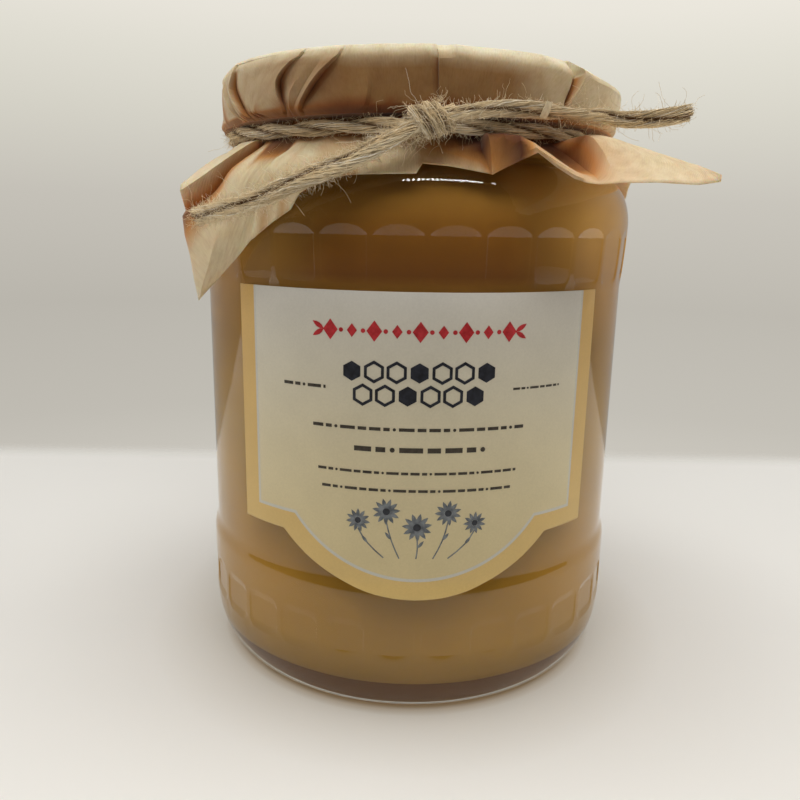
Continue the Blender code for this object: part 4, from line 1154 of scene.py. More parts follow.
# The sheet's corners lie near -62, 36, 125 and 215
FOLDS = [
    # Left corner: a curled light edge, a deep channel, then the hanging face
    Fold(-80, ((-79, -0.5), (-77, -0.5), (-73, -0.6), (-68, -0.7)), -62, ((-66, 45.0, 111.0),
         (-72, 50.4, 106.4)), 0.9),
    Fold(-70, ((-66.2, -0.8), (-62.0, -0.8), (-57.8, -0.8), (-54.4, -0.7)), -54.5, ((-53.5, 43.6, 112.2),
         (-55.4, 46.4, 109.6), (-58.4, 50.0, 106.6), (-61.4, 53.8, 104.2)), 0.7),
    Fold(-69, ((-67.4, 0.1), (-63.2, 0.6), (-59.0, 0.8), (-55.4, 0.5)), -51.5, ((-47.4, 43.3, 112.2),
         (-50.7, 45.8, 110.2), (-54.2, 48.6, 107.6), (-57, 51.3, 105.3), (-59.2, 54.5, 102.9)), 0.6),
    Fold(-66, ((-65.8, -0.1), (-61.6, 0.1), (-57.6, 0.2), (-54.2, 0.1)), -50.5, ((-49.2, 41.4, 110.4),
         (-52.6, 43.4, 107.4), (-55.8, 46.6, 104.2), (-58.6, 49.4, 101.2), (-61.0, 53.2, 99.2)), 0.5,
         painted_shade=(0.8, 0.8, 0.55)),
    Fold(-61, ((-60.0, 0.2), (-59.4, 0.4), (-56.2, 0.5), (-52.4, 0.3)), -49.2, ((-46.5, 42.5, 111.0),
         (-48.8, 47.4, 107.2), (-51.4, 50.0, 102.9), (-54.6, 52.2, 100.2), (-59.0, 54.4, 98.1)), 0.2,
         painted_shade=(0.35, 0.7, 0.9)),
    Fold(-56, ((-56.2, 0.4), (-57.2, 0.9), (-54.6, 0.9), (-50.6, 0.6)), -47.4, ((-44.8, 43.3, 110.6),
         (-46.8, 48.2, 106.4), (-50.2, 51.2, 100.6), (-57.9, 54.5, 94.5)), -0.3, painted_shade=(0.1, 0.2, 0.5)),
    Fold(-55.6, ((-55.8, -0.4), (-56.8, -0.7), (-54.2, -0.8), (-50.2, -0.5)), -46.2, ((-43.4, 43.7, 110.4),
         (-45.0, 48.8, 105.6), (-48.8, 51.6, 98.0), (-56.3, 54.0, 90.5)), -0.2),
    Fold(-54.4, ((-53.6, 0.0), (-53.6, 0.0), (-51.6, -0.1), (-48.4, 0.0)), -44.8, ((-41.8, 43.9, 110.2),
         (-43.0, 49.2, 104.8), (-47.2, 51.8, 95.4), (-51.6, 52.6, 87.4), (-55.5, 52.9, 81.8)), -0.3),
    Fold(-49, ((-48.6, 0.2), (-49.0, 0.2), (-49.2, 0.2), (-47.4, 0.1)), -42.6, ((-39.8, 43.9, 110.0),
         (-40.8, 49.0, 104.4), (-44.2, 50.8, 95.4), (-52.6, 51.1, 84.8)), -0.3),
    Fold(-37.6, ((-38.4, 0.35), (-41.2, 0.6), (-43.6, 0.6), (-45.4, 0.4)), -39.8, ((-37.6, 43.1, 109.8),
         (-38.8, 48.4, 104.0), (-41.0, 49.4, 97.0), (-46.0, 49.2, 90.0)), -0.2),
    Fold(-29.6, ((-31.8, 0.7), (-36.2, 1.0), (-36.4, 1.1), (-35.2, 0.7)), -36.6, ((-35.6, 42.2, 110.4),
         (-36.6, 45.8, 106.8), (-37.9, 48.2, 102.6), (-40.4, 48.8, 93.9)), 0.0),
    # Its right half lies over the left half along one crease
    Fold(-29.0, ((-32.0, -0.3), (-36.9, -0.7), (-37.0, -0.8), (-35.4, -0.5)), -35.2, ((-33.9, 42.6, 110.8),
         (-35.0, 47.6, 107.4), (-36.4, 49.2, 103.2), (-39.3, 49.0, 94.2)), 0.1),
    Fold(-27.5, ((-30.2, 0.1), (-34.0, -0.1), (-34.6, 0.0), (-34.0, 0.0)), -33.8, ((-32.6, 43.1, 110.6),
         (-33.4, 47.8, 107.0), (-34.4, 49.2, 102.8), (-36.6, 49.0, 95.5)), 0.1, painted_shade=(0.1, 0.05, 0.3)),
    Fold(-25, ((-27.0, 0.2), (-30.2, 0.5), (-32.5, 0.9), (-33.1, 0.4)), -32.6, ((-31.2, 43.3, 110.4),
         (-31.4, 47.8, 106.8), (-31.8, 49.0, 103.0), (-33.0, 48.9, 97.4)), 0.1),
    Fold(-22.6, ((-23.8, 0.2), (-27.2, 0.25), (-30.2, 0.3), (-32.0, 0.2)), -31.8, ((-30.3, 43.2, 110.3),
         (-30.3, 47.6, 106.8), (-30.4, 48.9, 102.9), (-30.8, 48.9, 98.4)), 0.1, painted_shade=(0.2, 0.1, 0.35)),
    Fold(-19.4, ((-20.2, 0.8), (-24.6, 1.2), (-28.1, 1.2), (-30.4, 0.7)), -31.0, ((-29.4, 43.1, 110.2),
         (-29.2, 47.4, 106.8), (-29.0, 48.8, 102.8), (-28.6, 48.9, 99.4)), 0.2),
    Fold(-18.8, ((-20.0, -0.1), (-24.7, -0.6), (-28.3, -0.75), (-30.3, -0.4)), -29.6, ((-27.2, 42.9, 110.0),
         (-26.8, 46.8, 107.0), (-26.6, 48.6, 102.2)), 0.3),
    Fold(-17.6, ((-18.4, 0.1), (-21.6, -0.1), (-25.6, -0.2), (-28.6, -0.1)), -26.6, ((-24.0, 44.0, 109.8),
         (-23.8, 48.0, 103.6)), 0.3, painted_shade=(0.3, 0.15, 0.3)),
    Fold(-15.6, ((-15.8, 0.1), (-16.0, 0.1), (-17.2, 0.1), (-18.0, 0.1)), -19.6, ((-19.4, 43.6, 109.8),
         (-19.0, 46.8, 105.2)), 0.5, painted_shade=(0.3, 0.15, 0.3)),
    Fold(-13.2, ((-13.4, 0.1), (-13.2, 0.15), (-13.0, 0.5), (-13.6, 0.55)), -15.6, ((-15.4, 43.4, 109.8),
         (-15.0, 46.5, 105.4)), 0.5, painted_shade=(0.3, 0.15, 0.3)),
    Fold(-12.2, ((-12.4, 0.1), (-12.2, 0.05), (-12.2, 0.0), (-12.8, 0.0)), -14.4, ((-14.2, 43.4, 109.8),
         (-13.8, 46.4, 105.5)), 0.5),
    Fold(-6, 0.15, -8.4, ((-8.4, 43.4, 109.9), (-8.2, 46.4, 105.6)), 0.6, painted_shade=(0.3, 0.0, 0.0)),
    Fold(0.4, ((0.6, 0.4), (1.2, 0.3), (1.6, 0.2), (1.8, 0.2)), -3, ((-2.2, 43.6, 110.0),
         (-1.7, 46.5, 105.7)), 0.4, painted_shade=(0.3, 0.05, 0.05)),
    Fold(2.2, ((2.6, -0.4), (2.7, -0.3), (2.8, -0.25), (2.9, -0.1)), -1, ((-0.6, 42.4, 109.9),
         (-0.4, 45.4, 107.5)), 0.5, painted_shade=(0.5, 0.3, 0.25)),
    Fold(2.9, ((2.7, 1.1), (2.9, 0.5), (3.0, 0.4), (3.1, 0.3)), 2, ((2.5, 42.6, 109.9), (2.8, 45.5, 107.3)),
         1.3, painted_shade=(0.7, 0.45, 0.15)),
    Fold(5.2, ((5.4, 0.5), (5.4, 0.2), (5.4, 0.2), (5.2, 0.1)), 4, ((5, 42.8, 109.8), (5.4, 45.8, 107.1)),
         1.0, painted_shade=(0.7, 0.5, 0.12)),
    Fold(6.8, ((7.0, 0.0), (7.2, 0.1), (7.4, 0.1), (7.4, 0.0)), 7.5, ((7.5, 43.0, 109.8), (8, 46.0, 106.8)),
         0.3, painted_shade=(0.8, 0.6, 0.1)),
    # Right corner: a step, a raised front edge, a hollow in shadow and painted shade, and the long bright
    # face
    Fold(12, 0.2, 12.2, ((12.3, 42.6, 110.6), (12.4, 44.4, 108.8), (12.6, 46.2, 106.2)), 1.0,
         painted_shade=(1.0, 0.9, 0.1)),
    Fold(15.4, 0.2, 14.6, ((13.9, 42.0, 111.4), (13.4, 43.8, 110.0), (13.7, 45.6, 108.2),
         (14.0, 47.2, 105.9)), 1.0, painted_shade=(1.0, 1.0, 0.4)),
    Fold(16.2, 0.1, 15.2, ((14.3, 43.4, 112.9), (13.5, 46.7, 112.1), (13.8, 47.5, 109.4),
         (14.2, 47.6, 105.7)), 1.0, 0.6, (0.8, 0.8, 0.35)),
    Fold(19, 0.1, 17.8, ((17.2, 44.0, 112.9), (16.3, 48.2, 112.2), (16.8, 48.4, 109.6),
         (17.1, 47.6, 106.9)), 1.0, 0.6, (1.0, 1.0, 0.65)),
    Fold(22.5, 0.1, 21.2, ((20.6, 44.6, 112.6), (19.6, 48.4, 112.2), (18.8, 50.0, 111.1),
         (19.6, 49.3, 109.6), (20.1, 48.4, 108.2)), 1.0, 0.6, (0.9, 1.0, 0.95)),
    Fold(26.5, 0.1, 24.6, ((24.2, 44.4, 111.9), (22.8, 48.6, 111.2), (21.6, 50.8, 110.5),
         (21.2, 51.6, 110.0), (21.9, 51.2, 109.3)), 0.9, 0.5, (0.3, 0.4, 0.3)),
    Fold(30, 0.2, 28, ((28.2, 43.8, 110.7), (27.0, 48.4, 109.6), (24.6, 52.6, 108.4), (23.4, 54.4, 107.8),
         (23.9, 54.0, 106.9)), 0.7, 0.4, (0.8, 0.4, 0.2)),
    Fold(33.5, ((34.2, 0.7), (33.8, 0.5), (33.2, 0.3), (32.6, 0.2)), 32, ((32.5, 44.4, 109.2),
         (31.0, 50.0, 107.2), (28.0, 54.4, 106.4), (25.2, 57.6, 105.7), (25.6, 57.0, 104.9)), 1.3, 0.3,
         (0.95, 0.5, 0.15)),
    Fold(37.0, ((37.8, 0.5), (37.4, 0.5), (35.8, 0.3), (35.0, 0.2)), 34, ((34.6, 44.4, 109.4),
         (33.0, 50.0, 106.8), (27.8, 57.0, 105.6), (26.2, 59.4, 104.3)), 1.6, 0.2, (1.0, 0.7, 0.15)),
    Fold(39.6, ((40.6, -0.8), (39.4, -0.8), (37.2, -0.8), (36.2, -0.3)), 36.4, ((37.2, 44.4, 110.2),
         (35.2, 50.0, 107.4), (30.6, 56.4, 105.6), (27.0, 61.6, 104.0)), 1.8, painted_shade=(1.0, 0.75, 0.15)),
    Fold(40.3, ((40.8, 1.6), (39.5, 1.6), (37.2, 1.1), (36.6, 0.5)), 39.2, ((39.8, 43.6, 113.4),
         (38.4, 48.4, 113.3), (36.0, 53.0, 110.4), (32.2, 58.4, 107.0), (28.8, 64.6, 104.2)), 1.2, 1.0,
         (0.3, 0.2, 0.1)),
    Fold(46, ((46, 1.5), (46, 1.4), (45, 1.2), (44, 0.7)), 42.4, ((41.8, 44.6, 113.9), (40.6, 50.0, 113.2),
         (38.6, 57.6, 110.4), (35.4, 63.6, 107.2), (31.4, 69.2, 104.2)), 2.2, 0.8),
    Fold(52, ((52, 1.6), (52, 1.5), (50.5, 1.2), (49, 0.8)), 46, ((43.0, 45.4, 114.0), (41.2, 51.6, 112.9),
         (39.6, 60.0, 110.0), (38.0, 67.4, 107.1), (35.0, 73.0, 103.9)), 2.6, 0.8),
    Fold(58, ((58, 1.6), (58, 1.5), (56.5, 1.2), (55, 0.8)), 50, ((45.6, 46.4, 113.6), (42.4, 54.0, 112.0),
         (40.0, 63.0, 109.2), (38.2, 70.4, 106.8), (36.9, 75.0, 104.4)), 2.8, 0.6),
    Fold(63, ((63, 1.4), (63, 1.3), (61.5, 1.1), (59, 0.8)), 54, ((48.6, 46.6, 113.3), (44.4, 54.4, 111.5),
         (41.0, 63.4, 109.0), (38.6, 70.6, 106.9), (37.2, 74.8, 105.4)), 2.8, 0.6),
    Fold(71, ((71, 0.9), (70.5, 0.9), (69, 0.7), (67, 0.5)), 62, ((57, 46.0, 112.4), (52.4, 52.4, 110.4),
         (47, 60.0, 108.8), (42.6, 66.6, 107.9)), 2.4, 0.4),
    Fold(80, ((80, 0.5), (80, 0.5), (78.5, 0.4), (76, 0.3)), 72, ((70, 45.0, 111.2), (66.4, 49.6, 110.0),
         (61, 55.0, 109.6)), 1.8),
    Fold(92, 0.0, 84, ((84, 44.0, 109.8), (84, 49.0, 108.2)), 1.0),
    # The back, which repeats the same kinds of pleat
    Fold(104, 1.2, 98, ((100, 47.0, 110.0), (101, 51.4, 100.6))),
    Fold(105.4, -0.4, 99.6, ((102, 47.4, 110.0), (103, 52.4, 99.6))),
    Fold(117, 0.1, 114, ((116, 49.4, 110.0), (117, 56.8, 93.0))),
    Fold(128, 1.4, 124, ((125, 53.4, 110.4), (126, 62.0, 87.2))),
    Fold(129.4, -0.4, 126, ((127, 52.8, 110.2), (128.5, 61.0, 88.2))),
    Fold(141, 0.0, 134, ((138, 49.8, 109.6), (140, 53.4, 95.0))),
    Fold(155, 1.2, 150, ((153, 46.6, 109.6), (156, 50.4, 102.0))),
    Fold(156.4, -0.4, 152, ((155, 46.4, 109.6), (157.5, 50.4, 102.2))),
    Fold(170, 0.1, 168, ((169, 43.8, 109.6), (169, 48.6, 104.9))),
    Fold(184, 1.3, 184, ((186, 45.8, 109.8), (187, 50.8, 102.2))),
    Fold(185.4, -0.4, 185.6, ((188, 46.1, 109.8), (189, 50.8, 101.6))),
    Fold(199, 0.1, 198, ((200, 48.4, 109.4), (201, 51.4, 95.6))),
    Fold(212, 1.4, 210, ((213, 52.6, 109.4), (215, 54.8, 84.2))),
    Fold(213.4, -0.4, 211.6, ((215, 52.2, 109.4), (217, 54.4, 85.2))),
    Fold(226, 0.0, 224, ((226, 49.8, 109.0), (228, 51.4, 93.8))),
    Fold(240, 1.2, 243, ((243, 46.2, 109.6), (243, 50.6, 102.0))),
    Fold(241.4, -0.4, 244.6, ((245, 46.0, 109.6), (245, 50.5, 102.2))),
    Fold(254, -0.4, 262, ((262, 44.2, 109.4), (262, 48.8, 104.9))),
    Fold(268, -0.6, 282, ((276, 45.4, 109.8), (276, 50.4, 103.4))),
]


def smooth_value(knots, x):
    """A smooth curve through (x, value) knots with falling x."""
    x = min(x, knots[0][0])
    for i in range(len(knots) - 1):
        if knots[i][0] >= x >= knots[i + 1][0] or i == len(knots) - 2:
            (x0, v0), (x1, v1) = knots[i], knots[i + 1]
            before = knots[i - 1] if i else (2 * x0 - x1, 2 * v0 - v1)
            after = knots[i + 2] if i + 2 < len(knots) else (2 * x1 - x0, 2 * v1 - v0)
            t = (x - x0) / (x1 - x0)
            m0 = (v1 - before[1]) / (x1 - before[0]) * (x1 - x0)
            m1 = (after[1] - v0) / (after[0] - x0) * (x1 - x0)
            a, b = 2 * t ** 3 - 3 * t ** 2 + 1, t ** 3 - 2 * t ** 2 + t
            c, d = -2 * t ** 3 + 3 * t ** 2, t ** 3 - t ** 2
            return a * v0 + b * m0 + c * v1 + d * m1
    return knots[-1][1]


def skirt_line(start, skirt):
    """The line below the tie: a quadratic curve for two points, else through them all."""
    if len(skirt) > 2:
        return smooth_route([polar(*start)] + [polar(*p) for p in skirt], count=SKIRT_ROWS)
    handle, hem = skirt
    line = []
    for row in range(SKIRT_ROWS + 1):
        t = row / SKIRT_ROWS
        weights = ((1 - t) ** 2, 2 * t * (1 - t), t * t)
        spot = [sum(w * p[k] for w, p in zip(weights, (start, handle, hem))) for k in range(3)]
        line.append(polar(*spot))
    return line


def side_knots(fold):
    """Angle and distance off the lid against height, for one fold line."""
    first, last = fold.side[0], fold.side[-1]
    angles = [(PAPER_TOP - 1.3, fold.rim)] + [(z, p[0]) for z, p in zip(SIDE_HEIGHTS, fold.side)]
    outs = [(PAPER_TOP - 1.3, first[1] * 0.5)] + [(z, p[1]) for z, p in zip(SIDE_HEIGHTS, fold.side)]
    angles.append((CINCH_TOP + 0.3, last[0] * 0.35 + fold.tie * 0.65))
    outs.append((CINCH_TOP + 0.3, last[1] * 0.5 - 0.5))
    return angles, outs


def side_heights(fold):
    """Lower edge of the slanted rim, then the heights of the rows down the side."""
    brow = PAPER_TOP - 1.5 - fold.slack * 0.75
    top = brow - 0.75
    return brow, [top + (CINCH_TOP + 0.5 - top) * k / SIDE_STEPS for k in range(SIDE_STEPS + 1)]


def fold_line(fold):
    """Outer face of the paper along one fold line from the rim to the hem, in metres."""
    slack = fold.slack
    angles, outs = side_knots(fold)
    # The rim is a slanted band that rounds over into the side
    brow, heights = side_heights(fold)
    turn = smooth_value(angles, brow)
    lip = PAPER_SIDE + smooth_value(outs, brow)
    inner = PAPER_SIDE - 0.9 - slack * 0.9
    spots = [(fold.rim, PAPER_SIDE - 1.3 - slack, PAPER_TOP), (fold.rim, inner, PAPER_TOP - 0.2)]
    spots.append(((fold.rim + turn) / 2, (inner + lip) / 2, (PAPER_TOP - 0.2 + brow) / 2 + 0.1))
    spots += [((fold.rim + turn * 3) / 4, lip - 0.42, brow + 0.48), (turn, lip - 0.12, brow)]
    spots.append((smooth_value(angles, brow - 0.4), lip, brow - 0.4))
    spots += [(smooth_value(angles, z), PAPER_SIDE + smooth_value(outs, z), z) for z in heights]
    spots.append((fold.tie * 0.8 + fold.side[-1][0] * 0.2, PAPER_SIDE - 1.2, CINCH_TOP))
    for out, down in ((1.6, 0.05), (0.5, 0.2), (0, 0.8), (0, CINCH_TOP - LOOP_HEIGHT)):
        spots.append((fold.tie, CINCH_RADIUS + out, CINCH_TOP - down))
    tie_foot = (fold.tie, CINCH_RADIUS, CINCH_BOTTOM + 0.6)
    return [polar(*spot) for spot in spots] + skirt_line(tie_foot, fold.skirt)


def fold_shade(fold):
    """How much shade is painted on the paper along one fold line, row by row."""
    outs = side_knots(fold)[1]
    tie_shade = DEEP_SHADE if FRONT_RIMS[0] < fold.rim < FRONT_RIMS[1] else LESS_SHADE
    shades = [0.0] * RIM_ROWS
    # Painted shade in the grooves of the side and just above the tie, then all across the tie
    for z in side_heights(fold)[1]:
        groove = min(DEEP_SHADE, max(0.0, -smooth_value(outs, z)))
        shades.append(max(groove, tie_shade * max(0.0, 1 - (z - CINCH_TOP - 0.5) / 2.6)))
    shades += [DEEP_SHADE] * TIE_ROWS
    near, half_way, hem = fold.painted_shade
    for row in range(SKIRT_ROWS + 1):
        share = 2 * row / SKIRT_ROWS
        level = near + (half_way - near) * share if share < 1 else half_way + (hem - half_way) * (share - 1)
        # Painted shadow of the loop just below the tie
        under = DEEP_SHADE * (1 - share / 0.3)
        if FLAP_TIES[0] < fold.tie < FLAP_TIES[1]:
            # Painted shadow: the loop throws a wider one on the long flap
            under = min(0.86, 2.0 * (1 - share / 0.54))
        shades.append(max(level, under))
    return shades


def between(a, b, share, flat):
    """A point between two fold lines, round the jar or straight across."""
    turn_a, turn_b = (math.degrees(math.atan2(point.x, -point.y)) for point in (a, b))
    turn_b += 360 * round((turn_a - turn_b) / 360)
    ra, rb = math.hypot(a.x, a.y), math.hypot(b.x, b.y)
    turn = turn_a + (turn_b - turn_a) * share
    curved = polar(turn, (ra + (rb - ra) * share) / MM, (a.z + (b.z - a.z) * share) / MM)
    return curved.lerp(a.lerp(b, share), flat)


def paper_columns():
    """Every column of the sheet, closed round the jar: its angle in the flat sheet, its
    points and the shade painted on them."""
    closing = FOLDS + [FOLDS[0].turned(360)]
    lines = [fold_line(fold) for fold in closing]
    shades = [fold_shade(fold) for fold in closing]
    columns = []
    for i, (fold, after) in enumerate(zip(closing, closing[1:])):
        gap = after.rim - fold.rim
        steps = max(2, math.ceil(gap / COLUMN_STEP))
        for step in range(steps):
            share = step / steps
            column = []
            for k, (a, b) in enumerate(zip(lines[i], lines[i + 1])):
                # Between two lines the skirt runs straighter than the side
                flat = fold.flat if k < SIDE_ROWS - 2 else max(fold.flat, 0.5)
                column.append(between(a, b, share, flat))
            # Painted shade in a groove lies only close to its own line
            here = gap * share
            near_a, near_b = max(0.0, 1 - here / GROOVE_WIDTH), max(0.0, 1 - (gap - here) / GROOVE_WIDTH)
            shade = []
            for k, (a, b) in enumerate(zip(shades[i], shades[i + 1])):
                narrow = k < SIDE_ROWS - 7 and gap > GROOVE_WIDTH
                shade.append(max(a * near_a, b * near_b) if narrow else a + (b - a) * share)
            columns.append((fold.rim + gap * share, column, shade))
    return columns


def jar_reach(height):
    """How far out the lid or the glass comes at a height, for the paper to lie clear of."""
    if height > CINCH_TOP:
        return LID_REACH
    if height > SHOULDER_END:
        return CINCH_RADIUS
    rise = max(0.0, (height - SHOULDER_START) / SHOULDER_RISE)
    return FINISH_RADIUS + (JAR_RADIUS - FINISH_RADIUS) * math.sqrt(1 - rise ** 2) + 0.3


def crumple(point, turn):
    """Small creases and dents of handled paper, as a shift in metres along the radius."""
    place = point / MM
    soft = noise.noise(place * 0.085) * 0.22 + noise.noise(place * 0.21 + Vector((7, 3, 1))) * 0.12
    ridged = abs(noise.noise(place * 0.13 + Vector((3, 9, 5))))
    sharp = -0.28 * max(0.0, 0.16 - ridged) / 0.16
    near_tie = math.exp(-((place.z - 114.8) / 2.2) ** 2)
    pleat = noise.noise(Vector((turn * 0.55, place.z * 0.05, 2.0))) * 0.7 * near_tie
    return (soft + sharp * 0.35 + pleat) * MM


def paper_mesh():
    """The outer face of the sheet: its columns round the jar, then the flat top in rings."""
    columns = paper_columns()
    work = bmesh.new()
    uv = work.loops.layers.uv.new("sheet")
    # Painted shade of each point, which darkens the paper's colour
    painted_shade = work.verts.layers.float.new("painted_shade")
    rings = []
    for turn, column, shade in columns:
        angle = math.radians(turn)
        run = math.hypot(column[0].x, column[0].y)
        ring = []
        last = column[0]
        for k, point in enumerate(column):
            run += (point - last).length
            last = point
            radius = math.hypot(point.x, point.y)
            reach = radius + crumple(point, turn) * min(1.0, k / 4)
            if k >= 4:
                reach = max(reach, jar_reach(point.z / MM) * MM)
            out = Vector((point.x / radius, point.y / radius, 0))
            vertex = work.verts.new(out * reach + Vector((0, 0, point.z)))
            vertex[painted_shade] = shade[k]
            across, along = run * math.sin(angle) * SHEET_MAP, -run * math.cos(angle) * SHEET_MAP
            ring.append((vertex, (across + SHEET_MIDDLE, along + SHEET_MIDDLE)))
        rings.append(ring)
    count = len(rings)
    for i in range(count):
        a, b = rings[i], rings[(i + 1) % count]
        for k in range(len(a) - 1):
            mapped_face(work, uv, (a[k + 1], b[k + 1], b[k], a[k]))
    outer = [ring[0] for ring in rings]
    for share in TOP_RINGS:
        inner = []
        for _, column, _ in columns:
            spot = Vector((column[0].x * share, column[0].y * share, column[0].z))
            dent = noise.noise(spot * 55) * 0.3 - 0.25 + noise.noise(spot * 160) * 0.12
            vertex = work.verts.new(spot + Vector((0, 0, dent * MM * (1 - share ** 12))))
            inner.append((vertex, (spot.x * SHEET_MAP + SHEET_MIDDLE, spot.y * SHEET_MAP + SHEET_MIDDLE)))
        for i in range(count):
            j = (i + 1) % count
            mapped_face(work, uv, (outer[i], outer[j], inner[j], inner[i]))
        outer = inner
    centre = (work.verts.new(polar(0, 0, PAPER_TOP - 0.3)), (SHEET_MIDDLE, SHEET_MIDDLE))
    for i in range(count):
        mapped_face(work, uv, (outer[i], outer[(i + 1) % count], centre))
    bmesh.ops.recalc_face_normals(work, faces=work.faces)
    return finished(work, "paper_cover", 24)


def kraft_material():
    """Ribbed brown kraft: unbleached pulp, dull, with fine ribs along the sheet and long
    paler and darker fibres. It is thin enough to glow orange where light comes through.
    The shade down its side and in its hollows is painted in, fitted to the photo."""
    made, shader, add, spot = new_material(
        "ribbed_brown_kraft", Roughness=0.72, IOR=PAPER_IOR, Sheen_Weight=0.12, Subsurface_Weight=0.35,
        Subsurface_Radius=(1.0, 0.42, 0.15), Subsurface_Scale=0.0006)
    place = add("ShaderNodeUVMap", uv_map="sheet")
    # One unit of the map is 200 mm of sheet. Ribs lie 0.8 mm apart
    ribs = add("ShaderNodeMapping", {"Vector": place, "Scale": (250.0, 4.0, 1.0)})
    ribs = add("ShaderNodeTexWave", {"Vector": ribs, "Scale": 0.3183, "Distortion": 0.6, "Detail": 1.0})
    fibres = add("ShaderNodeMapping", {"Vector": place, "Scale": (800.0, 160.0, 1.0)})
    fibres = add("ShaderNodeTexNoise", {"Vector": fibres, "Scale": 1.0, "Detail": 4.0, "Roughness": 0.65})
    pulp = add("ShaderNodeTexNoise", {"Vector": place, "Scale": 60.0, "Detail": 5.0})
    mix = add(MATH, pulp, 0.55, add(MATH, fibres, 0.45, operation="MULTIPLY"), operation="MULTIPLY_ADD")
    tone = add(RAMP, mix, stops={0.3: "DDC6A4", 0.5: "F0DFC0", 0.7: "FEF2D9"})
    # Painted light and shade: slightly paler on the top, and darker down the side, most across the front
    # and back
    middle = (SHEET_MIDDLE, SHEET_MIDDLE, 0.0)
    from_middle = add(VECTOR_MATH, place, middle, operation="DISTANCE").outputs["Value"]
    painted_top_light = add(RAMP, from_middle, stops={0.213: "FFFFFF", 0.223: "EDE8DD"})
    painted_side_shade = add(RAMP, from_middle, stops={
        0.216: "FFFFFF", 0.233: "AC8D69", 0.275: "A48560", 0.31: "FFFFFF"})
    # How much of the painted side shade lies at each place from left to right
    spread = add(RAMP, add(RANGE, add("ShaderNodeSeparateXYZ", spot), -50.0 * MM, 50.0 * MM), stops={
        0.06: "B0B0B0", 0.14: "B8B8B8", 0.24: "D4D4D4", 0.36: "FFFFFF", 0.65: "FFFFFF", 0.73: "9E9E9E",
        0.8: "8C8C8C", 0.9: "202020"})
    # Painted shade: darker and more orange in hollows and grooves, at the tie and in the loop's shadow,
    # where light has mostly come through the paper
    painted_shade = add("ShaderNodeAttribute", attribute_name="painted_shade").outputs["Fac"]
    painted_shade = add(RAMP, painted_shade, stops={0.0: "FFFFFF", 0.5: "DCAA70", 1.0: "5D2C10"})
    for amount, layer in ((1.0, painted_top_light), (spread, painted_side_shade), (1.0, painted_shade)):
        tone = add("ShaderNodeMix", {"Factor": amount, "A": tone, "B": layer}, **TINT)
    height = add(MATH, ribs.outputs["Fac"], 0.5, operation="MULTIPLY")
    height = add(MATH, fibres, 0.5, height, operation="MULTIPLY_ADD")
    relief = add("ShaderNodeBump", {"Strength": 0.3, "Distance": 0.00007, "Height": height})
    feed(shader, Base_Color=tone, Normal=relief)
    return made


cover = new_object("tied_paper", paper_mesh(), kraft_material())
thickness = cover.modifiers.new("thickness", "SOLIDIFY")
thickness.thickness = PAPER_THICKNESS * MM
thickness.offset = -1.0
settle(cover, "kraft_paper", "paper_cover")


# Floor, room and light
# A plain pale table top with a straight back edge, out of focus against a pale wall. Soft
# light comes from above and both sides, and a row of small lamps above the viewer shows as
# a bright line on the shoulder of the glass.
TABLE_ACROSS = (-620.0, -310.0, 0.0, 310.0, 620.0)
TABLE_ALONG = (-300.0, -200.0, -100.0, 0.0, 100.0, 142.0)
TABLE_FADE = (120.0, 142.0)
FRONT_FADE = (-280.0, -110.0)
# Brightness of the room in front of the jar, behind it, above the back and underfoot
ROOM_FRONT = 0.06
ROOM_BACK = 0.36
ROOM_TOP = 0.4
ROOM_BELOW = 0.5
LAMP_COLOUR = "FFFCF7"
STRIP_START = Vector((-125.0, -262.0, 505.0)) * MM
STRIP_END = Vector((215.0, -225.0, 505.0)) * MM
STRIP_LAMPS = 23
# One more stands past the end of the row, at this share of its length
STRIP_APART = 1.14
STRIP_POWER = 0.02
# The spot that the row is turned to, in metres
STRIP_AIM = (0.0, -0.046, 0.1045)


def table_material():
    """Matt white laminate. Its far edge is out of focus, so it melts into the wall, and it
    fades out again under the viewer."""
    made, shader, add, spot = new_material("matt_white_laminate", Roughness=0.6)
    depth = add("ShaderNodeSeparateXYZ", spot).outputs["Y"]
    mottle = add("ShaderNodeTexNoise", {"Vector": spot, "Scale": 12.0, "Detail": 2.0})
    tone = add(RAMP, mottle, stops={0.0: "E4E4E2", 1.0: "E8E8E6"})
    # Painted light: brighter towards the viewer, fitted to the photo
    near = add(RANGE, depth, -75.0 * MM, -10.0 * MM, 1.1, 1.0)
    # A brown rim painted close round the heel, for the shade and the tinted light there
    away = add(VECTOR_MATH, spot, operation="LENGTH").outputs["Value"]
    away = add(RAMP, add(RANGE, away, 38.0 * MM, 64.0 * MM), stops={
        0.04: "54391A", 0.15: "86633F", 0.21: "A28E72", 0.255: "DAD1C5", 0.33: "F2F0EC", 1.0: "FFFFFF"})
    for layer in (near, away):
        tone = add("ShaderNodeMix", {"Factor": 1.0, "A": tone, "B": layer}, **TINT)
    back = add(RANGE, depth, TABLE_FADE[0] * MM, TABLE_FADE[1] * MM, 1.0, 0.0, **SOFT)
    front = add(RANGE, depth, FRONT_FADE[0] * MM, FRONT_FADE[1] * MM, **SOFT)
    feed(shader, Base_Color=tone, Alpha=add(MATH, back, front, operation="MULTIPLY"))
    return made


def table_mesh():
    """Flat table top in strips."""
    work = bmesh.new()
    rows = [[work.verts.new(Vector((x, y, 0.0)) * MM) for x in TABLE_ACROSS] for y in TABLE_ALONG]
    for a, b in zip(rows, rows[1:]):
        for i in range(len(a) - 1):
            work.faces.new((a[i], a[i + 1], b[i + 1], b[i]))
    return finished(work, "table")


table = new_object("table", table_mesh(), table_material())


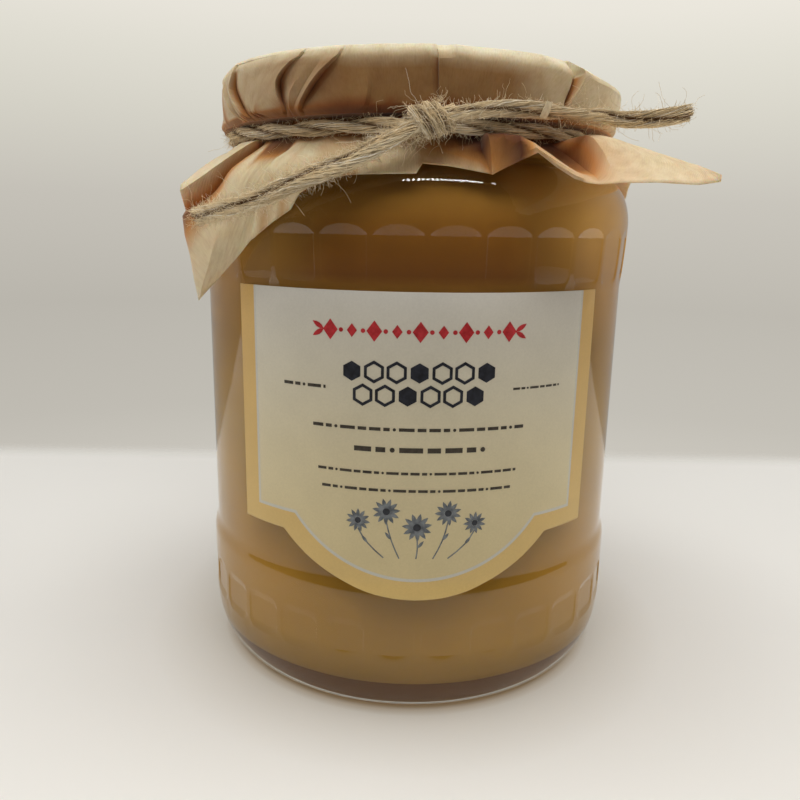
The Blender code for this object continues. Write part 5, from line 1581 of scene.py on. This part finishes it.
def make_world():
    """The room. The camera sees a plain wall, paler above and below; everything else sees
    a pale back wall, a ceiling that is bright towards the back, and a dim front."""
    world = bpy.data.worlds.new("room")
    world.use_nodes = True
    world.node_tree.nodes.clear()
    add = partial(add_node, world.node_tree)
    parts = add("ShaderNodeSeparateXYZ", add("ShaderNodeTexCoord").outputs["Generated"]).outputs
    # Tones of the wall by how steeply one looks up or down, as the Z of the line of sight
    wall_tones = (
        (-0.4, "DCD8CF"), (-0.34, "D6D2C9"), (-0.30, "C9C5BC"), (-0.227, "C0BCB3"), (-0.093, "BAB6AD"),
        (0.038, "C5C1B8"), (0.136, "D5D2C7"), (0.204, "DFDCD1"), (0.252, "E7E3D9"), (0.4, "EEEBE2"),
    )
    rise = add(RANGE, parts["Z"], -1.0, 1.0)
    wall = add(RAMP, rise, stops={(z + 1) / 2: code for z, code in wall_tones})
    # The wall is a little brighter on the right
    lean = add(RANGE, parts["X"], -0.5, 0.5, 0.99, 1.045)
    seen = add("ShaderNodeBackground", {"Color": wall, "Strength": lean})
    level = add(RANGE, parts["Y"], -0.45, 0.7, ROOM_FRONT, ROOM_BACK, **SOFT)
    rearward = add(RANGE, parts["Y"], -0.25, 0.35, 0.0, ROOM_TOP, **SOFT)
    above = add(MATH, add(RANGE, parts["Z"], 0.3, 0.95, **SOFT), rearward, operation="MULTIPLY")
    below = add(RANGE, parts["Z"], -0.5, -0.25, ROOM_BELOW, 0.0, **SOFT)
    for layer, operation in ((above, "ADD"), (below, "MAXIMUM")):
        level = add(MATH, level, layer, operation=operation)
    tint = add(RAMP, level, stops={0.05: "F2D4B0", 0.3: "FFFDF8"})
    lit = add("ShaderNodeBackground", {"Color": tint, "Strength": level})
    path = add("ShaderNodeLightPath").outputs["Is Camera Ray"]
    add("ShaderNodeOutputWorld", add("ShaderNodeMixShader", path, lit, seen))
    bpy.context.scene.world = world


def area_light(name, place, aim, size, power, mirrored=True):
    """A soft rectangular lamp. One that isn't mirrored lights things but never shows in gloss."""
    data = bpy.data.lights.new(name, "AREA")
    data.shape = "RECTANGLE"
    data.size, data.size_y = size
    data.energy = power
    data.color = linear_colour(LAMP_COLOUR)[:3]
    lamp = new_object(name, data)
    lamp.location = place
    lamp.rotation_euler = (Vector(aim) - Vector(place)).to_track_quat("-Z", "Y").to_euler()
    lamp.visible_glossy = mirrored
    return lamp


make_world()
# Lamps that don't show in gloss, with place and size in metres and power in watts
for name, place, size, power in (
    ("overhead", (0.0, -0.16, 0.62), (0.5, 0.5), 2.9),
    ("left_side", (-0.5, 0.06, 0.16), (0.4, 0.3), 0.75),
    ("right_side", (0.5, 0.08, 0.2), (0.4, 0.3), 0.85),
    ("front", (0.0, -0.62, 0.1), (0.5, 0.3), 0.25),
):
    area_light(name, place, (0.0, 0.0, 0.06), size, power, mirrored=False)

for i in range(STRIP_LAMPS + 1):
    # The one that stands apart is wider
    apart = i == STRIP_LAMPS
    spot = STRIP_START.lerp(STRIP_END, STRIP_APART if apart else (i + 0.5) / STRIP_LAMPS)
    wide = 0.015 if apart else 0.005 + 0.003 * abs(math.sin(i * 2.3))
    tall = 0.018 + 0.02 * abs(math.sin(i * 1.7 + 1))
    lamp = area_light("strip_%02d" % i, spot, STRIP_AIM, (wide, tall), STRIP_POWER)
    lamp.visible_diffuse = False
    lamp.visible_transmission = False

bpy.context.scene.view_settings.view_transform = "Standard"
